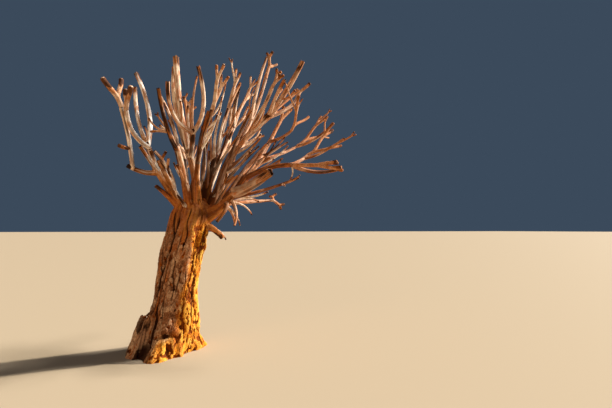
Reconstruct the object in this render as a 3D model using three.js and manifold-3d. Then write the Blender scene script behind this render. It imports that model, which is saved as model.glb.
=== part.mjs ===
// Kokerboom (quiver tree), dead and leafless, rooted in level ground.
// Millimetres, +Z up, +X to the right and +Y to the back. The origin is the middle of the flat cut
// at ground level. Every limb is a solid of its own, and so is each mass of bare twigs.

import * as THREE from "three";
import { mergeVertices } from "three/addons/utils/BufferGeometryUtils.js";
import Module from "manifold-3d";

const wasm = await Module();
wasm.setup();

// Across and up are measured in the upright plane through the foot, as an eye in front sees it.
// Back then moves a point along that line of sight, so the front outline keeps its shape.
const EYE_UP = 1600;
const EYE_DISTANCE = 5850;

// Clearances between solids that touch on the real tree
const JOINT_GAP = 0.3;
const TWIG_CLEARANCE = 8;

// Trunk: lean of its axis, column radius by height, flutes that wind up it, and root flare
const TRUNK_TOP = 1990;
const TRUNK_BELOW_GROUND = 60;
const TRUNK_SIDES = 50;
const TRUNK_RINGS = 24;
const TRUNK_RING_BIAS = 0.09;
const TRUNK_AXIS = [[0, 40], [450, 88], [1000, 164], [1320, 214], [1650, 277], [TRUNK_TOP, 335]];
const TRUNK_RADIUS = [
  [0, 300], [450, 292], [1000, 262], [1320, 264], [1650, 248], [1820, 238], [1925, 195], [TRUNK_TOP, 90],
];
// Flutes: count round the trunk, depth as a share of the radius, and start angle
const FLUTES = [[3, 0.035, 0.4], [5, 0.03, 2.1], [8, 0.018, 4.4]];
const FLUTE_TWIST = 0.0009;
// Root lobes: bearing in degrees from +X towards +Y, reach past the column, half-width in degrees
const ROOTS = [
  [205, 240, 24], [250, 270, 22], [292, 120, 20], [352, 90, 20], [22, 230, 24], [95, 190, 26], [150, 230, 22],
];
const FLARE_HEIGHT = 170;
// Ridges that run down the trunk under each bough: push, half-width in degrees, fall-off, and how
// far along its bough each is in line with
const RIDGE_PUSH = 34;
const RIDGE_HALF_WIDTH = 15;
const RIDGE_FALL = 620;
const RIDGE_SIGHT = 0.6;
// Grooves of the deepest cracks: bearing at the low end and at the high end in degrees, those two
// heights, depth, and half-width in degrees
const GROOVES = [
  [196, 229, 500, 1310, 40, 7.5],
  [230, 205, 1240, 1900, 34, 7],
  [232, 222, 50, 700, 26, 8],
  [268, 262, 1250, 1950, 24, 8],
  [296, 290, 950, 1750, 22, 8],
  [318, 325, 1150, 1800, 26, 8],
  [20, 32, 200, 1200, 26, 9],
  [62, 50, 600, 1850, 30, 9],
  [88, 96, 100, 900, 24, 9],
  [118, 108, 800, 1800, 28, 9],
  [150, 160, 400, 1500, 30, 9],
];
const GROOVE_CLOSING = 0.2;
// Bosses and hollows: bearing in degrees, height, half-width in degrees, half-height, push
const BOSSES = [
  [178, 1240, 14, 130, 16],
  [172, 900, 13, 120, 16],
  [356, 380, 17, 230, 52],
  [258, 235, 11, 55, -60],
  [70, 1050, 12, 120, 30],
  [140, 1300, 10, 100, 26],
];

// The split-off buttress slab at the left of the foot
const SLAB_FOOT = [-400, -190, -TRUNK_BELOW_GROUND];
const SLAB_TOP = [-262, -70, 470];
const SLAB_WIDTH = 175;
const SLAB_THICKNESS = 78;
const SLAB_BEARING = 205;
const SLAB_TAPER = 0.56;
const SLAB_SIDES = 10;
const SLAB_RINGS = 6;

// Limbs: how their girth falls off, the collar at their foot, and their rounded end
const LIMB_SIDES = 7;
const LIMB_STEP = 200;
const LIMB_LEAST_STEPS = 3;
const LIMB_STEP_BIAS = 1.35;
const LIMB_TAPER = 1.3;
const COLLAR_ON_TRUNK = { share: 0.42, reach: 210 };
const COLLAR_ON_LIMB = { share: 0.22, reach: 70 };
const NO_COLLAR = { share: 0, reach: 1 };
const END_REACH = 0.4;
const END_SHARE = 0.62;

// Twigs: each arm starts along its parent, swings out, and recovers towards the mass's heading
const TWIG_SIDES = 5;
const TWIG_STEPS = 3;
const TWIG_TIP_RADIUS = 21;
const ARM_START = 0.25;
const ARM_SWING = 0.6;
const ARM_WAY = 0.84;
const ARM_RECOVERY = 0.16;
const ARM_ROOT = 0.5;
const ARM_LENGTH_RATIO = 0.78;
const ARM_LENGTH_SPREAD = 0.3;
const SPREAD_RATIO = 0.82;
const OPENING_SPREAD = 0.4;
const NEXT_FORK_TURN = 90;
const ROLL_SPREAD = 50;
const ROLL_TRIES = [0, 30, -30, 60, -60, 90];
const SPACE_SHARE = 0.75;
const STEM_LEAST = 3;
const STEM_THINNING = 0.7;
const ARM_THICKENING = 0.25;

// Boughs that grow out of the trunk: name, foot inside the trunk, tip, how far the middle stands
// off the straight line, and radii at the foot and the tip. Places are [across, back, up].
const TRUNK_BOUGHS = [
  ["bough_left", [240, -60, 1790], [-180, -120, 2430], [0, 0, 10], [64, 44]],
  ["bough_centre_left", [280, -150, 1820], [90, -300, 2740], [20, 0, -10], [50, 38]],
  ["bough_centre", [390, 0, 1880], [250, -20, 2680], [30, 0, 20], [52, 44]],
  ["bough_mid", [470, 120, 1830], [640, 260, 2610], [-30, 0, 30], [72, 58]],
  ["limb_mid_dark", [410, -150, 1840], [570, -560, 3300], [-95, 0, 20], [38, 30]],
  ["bough_right_up", [530, 40, 1780], [910, 260, 2780], [-10, 0, 10], [62, 50]],
  ["bough_right", [440, -60, 1740], [1060, -200, 2360], [20, 0, -60], [74, 50]],
  ["bough_back", [420, 190, 1820], [700, 760, 2620], [-20, 0, -40], [56, 42]],
  ["bough_back_left", [290, 170, 1820], [200, 640, 2560], [0, 0, -30], [50, 36]],
  ["stub_shoulder", [160, -60, 1870], [-170, -200, 2190], [0, 0, 20], [30, 24]],
  ["stub_orange", [440, -60, 1690], [740, -160, 1480], [0, 0, 30], [36, 27]],
];

// Limbs that grow out of other limbs: name, what carries it, the share of the way along that,
// tip, how far the middle stands off the straight line, and radii.
const LIMBS = [
  ["limb_left_low", "bough_left", 0.9, [-530, -200, 2450], [0, 0, -35], [33, 26]],
  ["limb_left_outer", "limb_left_low", 0.82, [-610, -280, 3220], [20, 0, -20], [26, 31]],
  ["limb_left_inner", "bough_left", 0.97, [-290, -240, 2750], [15, 0, -15], [38, 34]],
  ["limb_left_lit", "limb_left_inner", 0.9, [-560, -560, 3190], [-50, 0, -40], [32, 30]],
  ["limb_left_tall", "limb_left_inner", 0.94, [-450, 420, 3710], [95, 0, -40], [33, 29]],
  ["limb_left_back", "limb_left_inner", 0.8, [-450, 700, 3510], [-50, 0, -30], [28, 27]],
  ["limb_left_pair", "bough_left", 0.4, [-196, -500, 2668], [85, 0, -5], [27, 20]],
  ["limb_dark", "bough_centre_left", 0.96, [-160, -860, 3540], [-25, 0, -50], [31, 22]],
  ["limb_pale", "bough_centre_left", 0.86, [-140, 480, 3440], [45, 0, 25], [28, 20]],
  ["limb_tall", "bough_centre", 0.93, [60, 240, 4010], [-35, 0, 0], [43, 40]],
  ["limb_y_stem", "bough_centre", 0.9, [310, -240, 2980], [5, 0, -20], [36, 34]],
  ["limb_y_left", "limb_y_stem", 0.95, [-40, -640, 3650], [-85, 0, -110], [30, 25]],
  ["limb_y_right", "limb_y_stem", 0.95, [360, -360, 3920], [105, 0, -70], [31, 26]],
  ["limb_centre_small", "bough_centre", 0.8, [270, 480, 3100], [-10, 0, -40], [30, 26]],
  ["limb_mid_near", "bough_mid", 0.95, [760, 480, 3200], [-10, 0, -10], [40, 33]],
  ["limb_mid_far", "bough_mid", 0.86, [950, 860, 3320], [10, 0, -60], [40, 30]],
  ["limb_fat", "bough_right_up", 0.95, [1440, 160, 3340], [-30, 0, -10], [48, 48]],
  ["limb_thick_end", "limb_fat", 0.97, [1930, -80, 4200], [0, 0, -40], [42, 34]],
  ["limb_right_end", "limb_fat", 0.9, [1850, 440, 3650], [90, 0, -20], [34, 28]],
  ["limb_fork_inner", "limb_fat", 0.93, [1640, -380, 3880], [-10, 0, 10], [32, 25]],
  ["limb_top", "bough_right_up", 0.92, [1340, 760, 3850], [50, 0, -10], [36, 30]],
  ["limb_top_side", "bough_right_up", 0.85, [1440, -380, 3720], [60, 0, 20], [30, 25]],
  ["limb_right_low", "bough_right", 0.96, [1770, -520, 2570], [0, 0, 60], [37, 31]],
  ["limb_right_mid", "limb_right_low", 0.93, [2000, -160, 2730], [0, 0, -20], [26, 24]],
  ["limb_right_up", "bough_right", 0.94, [1450, 380, 2980], [0, 0, -40], [38, 31]],
  ["limb_right_top", "limb_right_up", 0.5, [1860, 640, 2880], [-15, 0, -40], [27, 24]],
  ["limb_right_arch", "limb_right_up", 0.9, [1740, 110, 3090], [10, 0, -25], [26, 22]],
  ["stump_fat", "bough_right", 0.72, [1430, -620, 2460], [-10, 0, -45], [68, 60]],
  ["limb_orange", "bough_right", 0.6, [1870, -420, 2390], [40, 0, -20], [28, 18]],
  ["limb_low", "bough_right", 0.45, [1450, 520, 2030], [0, 60, 10], [30, 22]],
  ["limb_down", "bough_right", 0.5, [650, -380, 1710], [60, -40, 40], [30, 24]],
];

// Masses of bare twigs: the limb whose tip carries the stem, the middle of the furthest tips, the
// stem's share of that way, half-angle and turn of the first fork in degrees (a turn of 0 opens it
// across, 90 opens it back), how often the twigs fork, and the seed.
const MASSES = [
  ["limb_left_outer", [-770, -330, 3610], 0.29, 39, 55, 1, 36],
  ["limb_left_lit", [-540, -640, 3490], 0.22, 42, -70, 1, 247],
  ["limb_centre_small", [260, 620, 3420], 0.34, 39, 75, 2, 125],
  ["limb_mid_dark", [720, -760, 3940], 0.1, 21, -120, 2, 85],
  ["limb_mid_near", [940, 640, 3850], 0.1, 10, 75, 2, 102],
  ["limb_mid_far", [1180, 1120, 3770], 0.35, 30, 75, 2, 63],
  ["limb_right_end", [1940, 520, 3800], 0.32, 42, -70, 1, 323],
  ["limb_top", [1440, 900, 4190], 0.57, 42, 55, 2, 350],
  ["limb_top_side", [1580, -480, 4000], 0.36, 36, -70, 2, 116],
  ["limb_right_low", [2580, -820, 2610], 0.48, 13, -25, 2, 361],
  ["limb_right_mid", [2540, -40, 3060], 0.15, 21, -25, 2, 104],
  ["limb_right_up", [1690, 600, 3460], 0.53, 15, -5, 1, 320],
  ["limb_right_top", [2370, 900, 3300], 0.18, 21, 30, 2, 51],
  ["limb_right_arch", [1960, 20, 3490], 0.13, 42, 55, 1, 3],
  ["limb_low", [1540, 760, 2020], 0.11, 36, -40, 2, 346],
  ["bough_back", [1110, 1280, 3170], 0.22, 30, 30, 3, 24],
  ["bough_back_left", [80, 1150, 3060], 0.22, 28, 40, 2, 25],
];

// Colours of the flaky bark, the smooth limbs and the bare twigs
const BARK = { color: 0xc48a4e, roughness: 0.86, metalness: 0 };
const SMOOTH_LIMB = { color: 0xc9a98b, roughness: 0.62, metalness: 0 };
const TWIG = { color: 0xbb8f6c, roughness: 0.7, metalness: 0 };

const { clamp, degToRad, euclideanModulo, radToDeg, smoothstep } = THREE.MathUtils;

// Places a point that was measured across and up, then moves it back along its line of sight.
function sighted([across, back, up]) {
  const scale = 1 + back / EYE_DISTANCE;
  return new THREE.Vector3(across * scale, back, EYE_UP + (up - EYE_UP) * scale);
}

// Value at a height, in a straight line from each station to the next
function profile(stations, height) {
  let i = 0;
  while (i < stations.length - 2 && height > stations[i + 1][0]) {
    i += 1;
  }
  const [low, lowValue] = stations[i];
  const [high, highValue] = stations[i + 1];
  const share = clamp((height - low) / (high - low), 0, 1);
  return lowValue + (highValue - lowValue) * share;
}

// Random numbers from 0 to 1 that a seed fixes: the fraction left of a large, fast sine wave
const SEED_STRIDE = 97;
const WAVE_RATE = 12.9898;
const WAVE_HEIGHT = 43758.5453;

function seeded(seed) {
  let count = seed * SEED_STRIDE;
  return () => {
    count += 1;
    const value = Math.sin(count * WAVE_RATE) * WAVE_HEIGHT;
    return value - Math.floor(value);
  };
}

// Closed surface through rings of points that turn anticlockwise about the way they follow.
function loft(rings) {
  const sides = rings[0].length;
  const points = rings.flat();
  const faces = [];
  for (let start = 0; start < points.length - sides; start += sides) {
    for (let side = 0; side < sides; side += 1) {
      const a = start + side;
      const b = start + (side + 1) % sides;
      faces.push(a, b, b + sides, a, b + sides, a + sides);
    }
  }
  const end = points.length - sides;
  for (let side = 1; side < sides - 1; side += 1) {
    faces.push(0, side + 1, side);
    faces.push(end, end + side, end + side + 1);
  }
  const geometry = new THREE.BufferGeometry().setFromPoints(points);
  geometry.setIndex(faces);
  return geometry;
}

function solidOf(geometry) {
  const bare = geometry.clone();
  bare.deleteAttribute("normal");
  bare.deleteAttribute("uv");
  const merged = mergeVertices(bare);
  return new wasm.Manifold(new wasm.Mesh({
    numProp: 3,
    vertProperties: merged.attributes.position.array,
    triVerts: new Uint32Array(merged.index.array),
  }));
}

// Slivers thinner than this, left where solids are joined or cut, are smoothed away.
const SLIVER = 0.05;

function geometryOf(solid) {
  const mesh = solid.simplify(SLIVER).getMesh();
  const geometry = new THREE.BufferGeometry();
  geometry.setAttribute("position", new THREE.BufferAttribute(new Float32Array(mesh.vertProperties), 3));
  geometry.setIndex(new THREE.BufferAttribute(new Uint32Array(mesh.triVerts), 1));
  geometry.computeVertexNormals();
  return geometry;
}

// The main piece of a cut solid, without crumbs. A limb that is cut right through is a fault.
const CRUMB_SHARE = 0.02;

function mainPiece(name, solid) {
  const pieces = solid.decompose().sort((a, b) => b.volume() - a.volume());
  if (pieces.length > 1 && pieces[1].volume() > CRUMB_SHARE * pieces[0].volume()) {
    throw new Error(`${name} is cut through`);
  }
  return pieces[0];
}

// Trunk

function degreesOff(bearing, middle) {
  return euclideanModulo(radToDeg(bearing) - middle + 180, 360) - 180;
}

// A bell curve that is 1 in the middle and about a third at the half-width
function bump(off, halfWidth) {
  return Math.exp(-((off / halfWidth) ** 2));
}

function grooveDepth(bearing, height) {
  let depth = 0;
  for (const [foot, top, low, high, deepest, halfWidth] of GROOVES) {
    const share = (height - low) / (high - low);
    const open = smoothstep(share, 0, GROOVE_CLOSING) * smoothstep(1 - share, 0, GROOVE_CLOSING);
    depth += deepest * open * bump(degreesOff(bearing, foot + (top - foot) * share), halfWidth);
  }
  return depth;
}

function trunkRadius(bearing, height) {
  let share = 1;
  for (const [count, depth, start] of FLUTES) {
    share += depth * Math.cos(count * (bearing + FLUTE_TWIST * height) + start);
  }
  let flare = 0;
  for (const [root, reach, halfWidth] of ROOTS) {
    flare += reach * bump(degreesOff(bearing, root), halfWidth);
  }
  let radius = profile(TRUNK_RADIUS, height) * share + flare * Math.exp(-height / FLARE_HEIGHT);
  const fade = Math.exp(-Math.max(TRUNK_TOP - height, 0) / RIDGE_FALL);
  for (const bearingBelow of ridgeBearings) {
    radius += RIDGE_PUSH * fade * bump(degreesOff(bearing, bearingBelow), RIDGE_HALF_WIDTH);
  }
  for (const [middle, level, halfWidth, halfHeight, push] of BOSSES) {
    radius += push * bump(degreesOff(bearing, middle), halfWidth) * bump(height - level, halfHeight);
  }
  return radius - grooveDepth(bearing, height);
}

function trunkRing(height, level, grow) {
  const ring = [];
  for (let side = 0; side < TRUNK_SIDES; side += 1) {
    const bearing = (side / TRUNK_SIDES) * 2 * Math.PI;
    const radius = trunkRadius(bearing, height) + grow;
    ring.push(new THREE.Vector3(
      profile(TRUNK_AXIS, height) + radius * Math.cos(bearing), radius * Math.sin(bearing), level));
  }
  return ring;
}

// The column from below the ground to the fork. `grow` makes it larger, to cut the boughs clear.
function trunkColumn(grow = 0) {
  const rings = [trunkRing(0, -TRUNK_BELOW_GROUND, grow)];
  for (let row = 0; row < TRUNK_RINGS; row += 1) {
    // Rings lie closer together in the flare and near the rounded top.
    const share = row / TRUNK_RINGS;
    const height = TRUNK_TOP * (share - TRUNK_RING_BIAS * Math.sin(2 * Math.PI * share));
    rings.push(trunkRing(height, height, grow));
  }
  rings.push(trunkRing(TRUNK_TOP, TRUNK_TOP + grow, grow));
  return solidOf(loft(rings));
}

function buttressSlab() {
  const rings = [];
  const foot = new THREE.Vector3(...SLAB_FOOT);
  const top = new THREE.Vector3(...SLAB_TOP);
  const upright = new THREE.Vector3(0, 0, 1);
  for (let row = 0; row <= SLAB_RINGS; row += 1) {
    const share = row / SLAB_RINGS;
    const size = 1 - (1 - SLAB_TAPER) * share;
    const ring = [];
    for (let side = 0; side < SLAB_SIDES; side += 1) {
      const angle = (side / SLAB_SIDES) * 2 * Math.PI;
      const point = new THREE.Vector3(SLAB_THICKNESS * Math.cos(angle), SLAB_WIDTH * Math.sin(angle), 0);
      point.multiplyScalar(size).applyAxisAngle(upright, degToRad(SLAB_BEARING));
      ring.push(point.add(foot.clone().lerp(top, share)));
    }
    rings.push(ring);
  }
  return solidOf(loft(rings));
}

// Everything under ground level, as one block to cut away
const UNDERGROUND_SIZE = 4000;

function underground() {
  const block = new THREE.BoxGeometry(UNDERGROUND_SIZE, UNDERGROUND_SIZE, UNDERGROUND_SIZE);
  block.translate(0, 0, -UNDERGROUND_SIZE / 2);
  return solidOf(block);
}

// Limbs

function makeLimb(foot, tip, bend, radii, collar) {
  const middle = foot.clone().lerp(tip, 0.5).addScaledVector(new THREE.Vector3(...bend), 2);
  const curve = new THREE.QuadraticBezierCurve3(foot, middle, tip);
  const steps = Math.max(LIMB_LEAST_STEPS, Math.round(foot.distanceTo(tip) / LIMB_STEP));
  return { curve, steps, bias: LIMB_STEP_BIAS, sides: LIMB_SIDES, radii, taper: LIMB_TAPER, collar };
}

function radiusAt(limb, share) {
  const [foot, tip] = limb.radii;
  const fromFoot = share * limb.curve.getPoint(0).distanceTo(limb.curve.getPoint(1));
  const collar = limb.collar.share * foot * Math.exp(-fromFoot / limb.collar.reach);
  return tip + (foot - tip) * (1 - share) ** limb.taper + collar;
}

// Ring of points square to the limb, a little beyond that share of its way where asked. Its first
// point lies square to +Y, or to +X on a limb that runs nearly straight back.
const NEARLY_BACK = 0.8;

function limbRing(limb, share, radius, beyond = 0) {
  const heading = limb.curve.getTangent(share);
  const centre = limb.curve.getPoint(share).addScaledVector(heading, beyond);
  const chord = limb.curve.getPoint(1).sub(limb.curve.getPoint(0)).normalize();
  const reference = Math.abs(chord.y) < NEARLY_BACK ? new THREE.Vector3(0, 1, 0) : new THREE.Vector3(1, 0, 0);
  const side = new THREE.Vector3().crossVectors(reference, heading).normalize();
  const other = new THREE.Vector3().crossVectors(heading, side);
  const ring = [];
  for (let i = 0; i < limb.sides; i += 1) {
    const angle = (i / limb.sides) * 2 * Math.PI;
    const point = centre.clone().addScaledVector(side, radius * Math.cos(angle));
    ring.push(point.addScaledVector(other, radius * Math.sin(angle)));
  }
  return ring;
}

// Tapering tube along a limb. `grow` makes it larger all round, to cut a neighbour clear of it.
function limbTube(limb, grow = 0) {
  const rings = [limbRing(limb, 0, radiusAt(limb, 0) + grow, -grow)];
  for (let step = 1; step < limb.steps; step += 1) {
    const share = (step / limb.steps) ** limb.bias;
    rings.push(limbRing(limb, share, radiusAt(limb, share) + grow));
  }
  const tip = radiusAt(limb, 1);
  if (limb.flatTip) {
    rings.push(limbRing(limb, 1, tip + grow, grow));
  } else {
    rings.push(limbRing(limb, 1, tip + grow));
    rings.push(limbRing(limb, 1, tip * END_SHARE + grow, tip * END_REACH + grow));
  }
  return solidOf(loft(rings));
}

// Straight stretches of a limb with their girth, which the twigs keep clear of
function stretches(limb) {
  const list = [];
  for (let step = 0; step < limb.steps; step += 1) {
    const [start, end] = [step / limb.steps, (step + 1) / limb.steps];
    list.push({
      line: new THREE.Line3(limb.curve.getPoint(start), limb.curve.getPoint(end)),
      radius: Math.max(radiusAt(limb, start), radiusAt(limb, end)),
    });
  }
  return list;
}

// Shortest distance from a few points of the first stretch to the second
const STRETCH_TESTS = 4;

function distanceBetween(first, second) {
  const nearest = new THREE.Vector3();
  const point = new THREE.Vector3();
  let least = Infinity;
  for (let step = 0; step <= STRETCH_TESTS; step += 1) {
    first.line.at(step / STRETCH_TESTS, point);
    second.line.closestPointToPoint(point, true, nearest);
    least = Math.min(least, point.distanceTo(nearest));
  }
  return least;
}

function isClear(limb, obstacles) {
  return stretches(limb).every((own) => obstacles.every((other) =>
    distanceBetween(own, other) > own.radius + other.radius + TWIG_CLEARANCE));
}

// Twigs

function makeTwig(from, heading, way, toward, length, radii) {
  const curve = new THREE.CubicBezierCurve3(
    from.clone(),
    from.clone().addScaledVector(heading, ARM_START * length),
    from.clone().addScaledVector(way, ARM_SWING * length),
    from.clone().addScaledVector(way, ARM_WAY * length).addScaledVector(toward, ARM_RECOVERY * length));
  return { curve, steps: TWIG_STEPS, bias: 1, sides: TWIG_SIDES, radii, taper: 1, collar: NO_COLLAR };
}

// The twigs of one mass. A stem grows on from the limb's tip and forks again and again; an arm
// that would leave the mass's space or touch a limb is turned about its parent, and else skipped.
function growMass(carrier, aimAt, stemShare, firstSpread, firstTurn, forks, seed, obstacles) {
  const draw = seeded(seed);
  const varied = (value, spread) => value + spread * (draw() - 0.5);
  const heading = carrier.curve.getTangent(1);
  const base = carrier.curve.getPoint(1).addScaledVector(heading, JOINT_GAP);
  const aim = sighted(aimAt);
  const toward = aim.clone().sub(base).normalize();
  const reach = base.distanceTo(aim);
  const axis = new THREE.Line3(base, aim);
  const spreadAt = (level) => degToRad(firstSpread * SPREAD_RATIO ** level);
  let armsAhead = 0;
  for (let level = 0; level < forks; level += 1) {
    armsAhead += ARM_LENGTH_RATIO ** level * Math.cos(spreadAt(level));
  }
  const stemRadius = radiusAt(carrier, 1);
  const stemLength = Math.max(reach * stemShare, STEM_LEAST * stemRadius);
  const armLength = (reach - stemLength) / armsAhead;
  const thinned = (level) => stemRadius + (TWIG_TIP_RADIUS - stemRadius) * (level / (forks + 1));
  const stem = makeTwig(base, heading, toward, toward, stemLength, [thinned(0), thinned(STEM_THINNING)]);
  stem.flatTip = true;
  const twigs = [stem];

  function isInSpace(limb) {
    const tip = limb.curve.getPoint(1);
    const nearest = axis.closestPointToPoint(tip, true, new THREE.Vector3());
    return tip.distanceTo(nearest) < SPACE_SHARE * reach + TWIG_TIP_RADIUS && tip.z > 0;
  }

  function fork(parent, plane, level) {
    const ahead = parent.curve.getTangent(1);
    const open = plane.clone().addScaledVector(ahead, -plane.dot(ahead)).normalize();
    const root = parent.curve.getPoint(1).addScaledVector(ahead, -ARM_ROOT * thinned(level));
    const radii = [thinned(level + 1 - ARM_THICKENING), thinned(level + 1)];
    for (const hand of [-1, 1]) {
      const length = armLength * ARM_LENGTH_RATIO ** level * varied(1, ARM_LENGTH_SPREAD);
      const opening = spreadAt(level) * varied(1, OPENING_SPREAD);
      const nextTurn = degToRad(varied(NEXT_FORK_TURN, ROLL_SPREAD));
      for (const turn of ROLL_TRIES) {
        const side = open.clone().applyAxisAngle(ahead, degToRad(turn));
        const way = ahead.clone().multiplyScalar(Math.cos(opening));
        way.addScaledVector(side, hand * Math.sin(opening));
        const arm = makeTwig(root, ahead, way, toward, length, radii);
        if (isInSpace(arm) && isClear(arm, obstacles)) {
          twigs.push(arm);
          if (level + 1 < forks) {
            arm.flatTip = true;
            fork(arm, side.applyAxisAngle(ahead, nextTurn), level + 1);
          }
          break;
        }
      }
    }
  }

  const stemEnd = stem.curve.getTangent(1);
  const across = new THREE.Vector3(0, 1, 0).cross(stemEnd).normalize();
  fork(stem, across.applyAxisAngle(stemEnd, degToRad(firstTurn)), 0);
  return twigs;
}

// Assembly

// Each ridge lies under its bough, towards where the bough is when it is well on its way out.
const ridgeBearings = TRUNK_BOUGHS.map(([, foot, tip, bend, radii]) => {
  const bough = makeLimb(sighted(foot), sighted(tip), bend, radii, COLLAR_ON_TRUNK);
  const out = bough.curve.getPoint(RIDGE_SIGHT);
  return radToDeg(Math.atan2(out.y, out.x - profile(TRUNK_AXIS, TRUNK_TOP)));
});

const tree = new THREE.Group();
const limbs = new Map();
const cutters = [trunkColumn(JOINT_GAP)];
const carriers = new Set(MASSES.map(([carrier]) => carrier));

function addPart(name, solid, finish) {
  const mesh = new THREE.Mesh(geometryOf(mainPiece(name, solid)), new THREE.MeshStandardMaterial(finish));
  mesh.name = name;
  tree.add(mesh);
}

// Adds a limb, cut clear of the trunk and of the limbs that were there before it.
function addLimb(name, limb, finish) {
  limb.flatTip = carriers.has(name);
  limbs.set(name, limb);
  addPart(name, cutters.reduce((solid, cutter) => solid.subtract(cutter), limbTube(limb)), finish);
  cutters.push(limbTube(limb, JOINT_GAP));
}

addPart("trunk", trunkColumn().add(buttressSlab()).subtract(underground()), BARK);

for (const [name, foot, tip, bend, radii] of TRUNK_BOUGHS) {
  addLimb(name, makeLimb(sighted(foot), sighted(tip), bend, radii, COLLAR_ON_TRUNK), BARK);
}

for (const [name, carrier, share, tip, bend, radii] of LIMBS) {
  const foot = limbs.get(carrier).curve.getPoint(share);
  addLimb(name, makeLimb(foot, sighted(tip), bend, radii, COLLAR_ON_LIMB), SMOOTH_LIMB);
}

const obstacles = [...limbs.values()].flatMap(stretches);
for (const [carrier, ...shape] of MASSES) {
  const twigs = growMass(limbs.get(carrier), ...shape, obstacles);
  const solid = twigs.map((twig) => limbTube(twig)).reduce((sum, tube) => sum.add(tube));
  addPart(carrier.replace(/^(limb|bough)_/, "twigs_"), solid, TWIG);
  obstacles.push(...twigs.flatMap(stretches));
}

export default tree;
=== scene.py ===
"""A dead, leafless kokerboom (quiver tree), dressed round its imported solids.

The limbs and twigs follow the growth rule of the part's source. Tubes are fused into skins, which
are then creased, cracked and flaked. Tables give millimetres, as [across, back, up] in front of the
tree, and everything else is in metres.
"""

import itertools
import math

import bmesh
import bpy
import numpy as np
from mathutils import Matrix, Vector


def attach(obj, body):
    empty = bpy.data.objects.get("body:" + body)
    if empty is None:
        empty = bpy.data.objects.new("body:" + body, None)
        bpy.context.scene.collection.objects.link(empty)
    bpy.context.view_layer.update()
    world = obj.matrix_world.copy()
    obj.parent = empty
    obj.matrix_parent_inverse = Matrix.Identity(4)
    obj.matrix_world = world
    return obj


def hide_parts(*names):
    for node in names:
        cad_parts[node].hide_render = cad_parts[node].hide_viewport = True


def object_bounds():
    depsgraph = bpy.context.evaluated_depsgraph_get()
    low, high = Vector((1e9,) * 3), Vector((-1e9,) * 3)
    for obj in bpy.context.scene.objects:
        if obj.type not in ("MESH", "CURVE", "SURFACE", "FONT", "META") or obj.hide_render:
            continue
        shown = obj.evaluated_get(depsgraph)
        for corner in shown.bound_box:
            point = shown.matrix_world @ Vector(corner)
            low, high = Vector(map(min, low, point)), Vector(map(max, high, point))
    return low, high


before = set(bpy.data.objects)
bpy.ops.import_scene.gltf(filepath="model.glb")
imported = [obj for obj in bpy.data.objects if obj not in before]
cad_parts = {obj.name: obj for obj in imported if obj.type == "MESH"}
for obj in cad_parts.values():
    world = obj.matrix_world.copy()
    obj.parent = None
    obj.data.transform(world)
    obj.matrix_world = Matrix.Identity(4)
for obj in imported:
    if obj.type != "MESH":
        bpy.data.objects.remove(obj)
CAD_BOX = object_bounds()

# Places and sizes of the part's source
MM = 0.001
EYE_UP = 1.6
EYE_DISTANCE = 5.85
JOINT_GAP = 0.3 * MM
TWIG_CLEARANCE = 8 * MM
UP = np.array([0.0, 0.0, 1.0])
BACK = np.array([0.0, 1.0, 0.0])

# Trunk: the height of its top, and its middle across and its radius at each height
TRUNK_TOP = 1.99
TRUNK_AXIS = [(0, 0.040), (0.45, 0.088), (1.0, 0.164), (1.32, 0.214), (1.65, 0.277), (1.99, 0.335)]
TRUNK_RADIUS = [
    (0, 0.300), (0.45, 0.292), (1.0, 0.262), (1.32, 0.264), (1.65, 0.248),
    (1.82, 0.238), (1.925, 0.195), (1.99, 0.090),
]
# Flutes: count round the trunk, depth as a share of the radius, and start angle
FLUTES = [(3, 0.035, 0.4), (5, 0.03, 2.1), (8, 0.018, 4.4)]
FLUTE_TWIST = 0.9
# Root lobes: bearing in degrees from +X towards +Y, reach past the column, half-width in degrees
ROOTS = [
    (205, 0.24, 24), (250, 0.27, 22), (292, 0.12, 20), (352, 0.09, 20),
    (22, 0.23, 24), (95, 0.19, 26), (150, 0.23, 22),
]
FLARE_HEIGHT = 0.17

# Limbs: how their girth falls off, and the collar at their foot as a share and a reach
LIMB_TAPER = 1.3
COLLAR_ON_TRUNK = (0.42, 0.21)
COLLAR_ON_LIMB = (0.22, 0.07)
NO_COLLAR = (0.0, 1.0)
# Straight stretches that a limb is tested by: their length, and the fewest
LIMB_STEP = 0.2
LIMB_LEAST_STEPS = 3
# A limb runs nearly straight back past this share of its way, and headings are taken over this step
NEARLY_BACK = 0.8
HEADING_STEP = 1e-4
# Tone of a branch that no table gives one
PLAIN_TONE = 0.6

# Twigs: each arm starts along its parent, swings out, and recovers towards the mass's heading
TWIG_STEPS = 3
TWIG_TIP_RADIUS = 21 * MM
ARM_START = 0.25
ARM_SWING = 0.6
ARM_WAY = 0.84
ARM_RECOVERY = 0.16
ARM_ROOT = 0.5
ARM_LENGTH_RATIO = 0.78
ARM_LENGTH_SPREAD = 0.3
SPREAD_RATIO = 0.82
OPENING_SPREAD = 0.4
NEXT_FORK_TURN = 90
ROLL_SPREAD = 50
ROLL_TRIES = (0, 30, -30, 60, -60, 90)
SPACE_SHARE = 0.75
STEM_LEAST = 3
STEM_THINNING = 0.7
ARM_THICKENING = 0.25
# Step, rate and size of the wave that random draws come from
SEED_STEP = 97
WAVE_RATE = 12.9898
WAVE_SIZE = 43758.5453
# Places on each stretch of a twig that are tested for room
TESTS_PER_STRETCH = 5

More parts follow.
